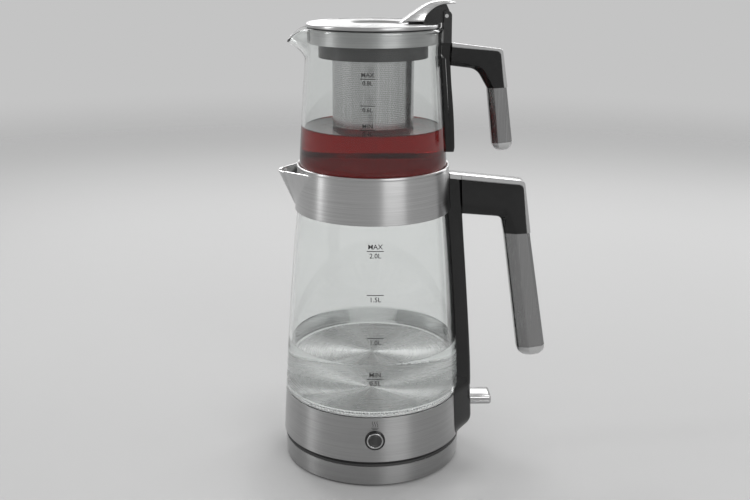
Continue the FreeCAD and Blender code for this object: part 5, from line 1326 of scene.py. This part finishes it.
markSizes = {
    "raise": 0.012,
    "thick": 0.05,
    "bold": 0.05,
    "line": 13.6,
    "lineThick": 0.62,
    "lineParts": 16,
    "letter": 5.5,
    "above": 1.7,
    "below": 5.5,
}
kettleMarks = [(202.4, "2.0L", "MAX"), (166.7, "1.5L", ""), (131.1, "1.0L", ""), (96.5, "0.5L", "MIN")]
potMarks = [(336.7, "0.8L", "MAX"), (316.4, "0.6L", ""), (297.9, "0.4L", "MIN")]
bandLow, bandHigh = span("kettle_band")


def bandRadius(level):
    share = (level - bandLow[2]) / (bandHigh[2] - bandLow[2])
    return between(bandSizes["lowRadius"], bandSizes["highRadius"], share)


# Puts a flat mark on a wall: across becomes the way round it, and depth the way out of it
def wrapOn(mesh, radiusAt, aside, level):
    for vertex in mesh.vertices:
        across, up, out = vertex.co
        height = level + up
        radius = radiusAt(height) + markSizes["raise"] + out
        turn = (aside + across) / radiusAt(height)
        vertex.co = Vector((radius * math.sin(turn), -radius * math.cos(turn), height)) * 0.001


def wordMesh(word, size, baseline):
    curve = bpy.data.curves.new("word", "FONT")
    curve.body = word
    curve.align_x = "CENTER"
    curve.size = size
    curve.extrude = markSizes["thick"] / 2.0
    curve.offset = markSizes["bold"]
    curve.resolution_u = 3
    mesh = takeMesh(addObject("word", curve))
    mesh.transform(Matrix.Translation((0.0, baseline, markSizes["thick"] / 2.0)))
    return mesh


# A strip of even width along flat points, divided finely enough to bend round the wall
def stripMesh(line, width):
    thick = markSizes["thick"]
    points = []
    for index, spot in enumerate(line):
        before = Vector(line[max(index - 1, 0)])
        after = Vector(line[min(index + 1, len(line) - 1)])
        side = (after - before).orthogonal().normalized() * (width / 2.0)
        for sign, depth in ((1, 0.0), (-1, 0.0), (-1, thick), (1, thick)):
            points.append((spot[0] + side.x * sign, spot[1] + side.y * sign, depth))
    faces = [(0, 1, 2, 3), tuple(range(len(points) - 4, len(points)))]
    for here in range(0, len(points) - 4, 4):
        faces += [(here + part, here + (part + 1) % 4, here + 4 + (part + 1) % 4, here + 4 + part)
                  for part in range(4)]
    return plainMesh(points, faces)


def joinMeshes(meshes):
    work = bmesh.new()
    for mesh in meshes:
        work.from_mesh(mesh)
        bpy.data.meshes.remove(mesh)
    joined = bpy.data.meshes.new("joined")
    work.to_mesh(joined)
    work.free()
    return joined


def makeMarks(name, marks, body, radiusAt, aside, scale):
    half = markSizes["line"] * scale / 2.0
    line = [(across, 0.0) for across in evenly(-half, half, markSizes["lineParts"])]
    letter = markSizes["letter"] * scale
    parts = []
    for level, number, word in marks:
        pieces = [stripMesh(line, markSizes["lineThick"])]
        pieces.append(wordMesh(number, letter, -markSizes["below"] * scale))
        if word:
            pieces.append(wordMesh(word, letter, markSizes["above"] * scale))
        for mesh in pieces:
            wrapOn(mesh, radiusAt, aside, level)
        parts += pieces
    placePiece(name, joinMeshes(parts), body, "print_black")


# Three waves of warm air over a dish, above the button
warmSignSizes = {
    "level": 53.0,
    "waves": 3,
    "pitch": 1.9,
    "foot": 2.2,
    "height": 4.6,
    "swing": 0.45,
    "waveParts": 12,
    "line": 0.5,
    "dishLines": [(1.1, 6.2), (0.0, 4.34)],
    "dishParts": 6,
}


def makeWarmSign(sizes):
    parts = []
    for wave in range(sizes["waves"]):
        aside = (wave - (sizes["waves"] - 1) / 2.0) * sizes["pitch"]
        line = []
        for share in evenly(0.0, 1.0, sizes["waveParts"]):
            swing = sizes["swing"] * math.sin(2.0 * math.pi * share)
            line.append((aside + swing, sizes["foot"] + sizes["height"] * share))
        parts.append(stripMesh(line, sizes["line"]))
    for level, width in sizes["dishLines"]:
        line = [(across, level) for across in evenly(-width / 2.0, width / 2.0, sizes["dishParts"])]
        parts.append(stripMesh(line, sizes["line"]))
    for mesh in parts:
        wrapOn(mesh, bandRadius, 0.0, sizes["level"])
    placePiece("warmSign", joinMeshes(parts), "kettle", "print_grey")


makeMarks("kettleMarks", kettleMarks, "kettle", glassRadius, 0.0, 1.0)
makeMarks("potMarks", potMarks, "teapot", potRadius, -6.2, 0.86)
makeWarmSign(warmSignSizes)
print("marks")


# Floor, backdrop and light

stageSizes = {"radius": 4.2, "sides": 96, "solid": 0.8, "fade": 2.4, "tone": 0.46, "darker": 0.985}
worldSizes = {"tone": 0.6, "light": 0.92}
lampSizes = [
    {"name": "keySoftbox", "place": (0.72, -1.25, 0.9), "aim": 0.2, "size": (0.9, 0.8), "power": 9.5},
    {"name": "leftStrip", "place": (-1.3, -0.12, 0.8), "aim": 0.25, "size": (0.2, 0.9), "power": 4.5},
    {"name": "rightStrip", "place": (1.05, 0.95, 0.8), "aim": 0.25, "size": (0.25, 0.9), "power": 4.5},
    {"name": "backLeft", "place": (-0.62, 1.02, 0.98), "aim": 0.15, "size": (0.5, 0.42), "power": 5.0},
    {"name": "backRight", "place": (0.5, 1.0, 1.12), "aim": 0.15, "size": (0.5, 0.42), "power": 5.0},
    {"name": "backStrip", "place": (-0.1, 1.4, 0.7), "aim": 0.25, "size": (1.2, 0.22), "power": 2.5},
]


# A round floor that fades into the plain backdrop
def makeStage(sizes):
    mesh = bpy.data.meshes.new("studioFloor")
    work = bmesh.new()
    bmesh.ops.create_circle(work, cap_ends=True, radius=sizes["radius"], segments=sizes["sides"])
    work.to_mesh(mesh)
    work.free()
    floor = addObject("studioFloor", mesh)
    tone = sizes["tone"]
    material = makeMaterial("studio_floor", **finish(
        grey(tone * sizes["darker"]), grey(tone), (0.6, 0.7), (3.0, 3.0, 3.0), depth=1e-6, smudge=0.02))
    tree = material.node_tree
    place = addNode(tree, "ShaderNodeTexCoord").outputs["Object"]
    far = addNode(tree, "ShaderNodeVectorMath", {0: place}, operation="LENGTH").outputs["Value"]
    fade = addNode(tree, "ShaderNodeMapRange", {
        "Value": far, "From Min": sizes["solid"], "From Max": sizes["fade"], "To Min": 1.0, "To Max": 0.0,
    }, interpolation_type="SMOOTHSTEP")
    tree.links.new(fade.outputs["Result"], tree.nodes["Principled BSDF"].inputs["Alpha"])
    mesh.materials.append(material)


def makeWorld(sizes):
    world = bpy.data.worlds.new("studio")
    world.use_nodes = True
    scene.world = world
    background = world.node_tree.nodes["Background"]
    background.inputs["Color"].default_value = (*grey(sizes["tone"]), 1.0)
    background.inputs["Strength"].default_value = sizes["light"]


# A flat lamp that faces a level on the kettle's axis
def makeLamp(sizes):
    light = bpy.data.lights.new(sizes["name"], "AREA")
    light.shape = "RECTANGLE"
    light.size, light.size_y = sizes["size"]
    light.energy = sizes["power"]
    lamp = addObject(sizes["name"], light)
    lamp.location = sizes["place"]
    lamp.visible_camera = False
    lamp.visible_transmission = False
    aim = Vector((0.0, 0.0, sizes["aim"])) - Vector(sizes["place"])
    lamp.rotation_euler = aim.to_track_quat("-Z", "Y").to_euler()


makeStage(stageSizes)
makeWorld(worldSizes)
for lamp in lampSizes:
    makeLamp(lamp)
scene.view_settings.view_transform = "Standard"
print("stage and light")
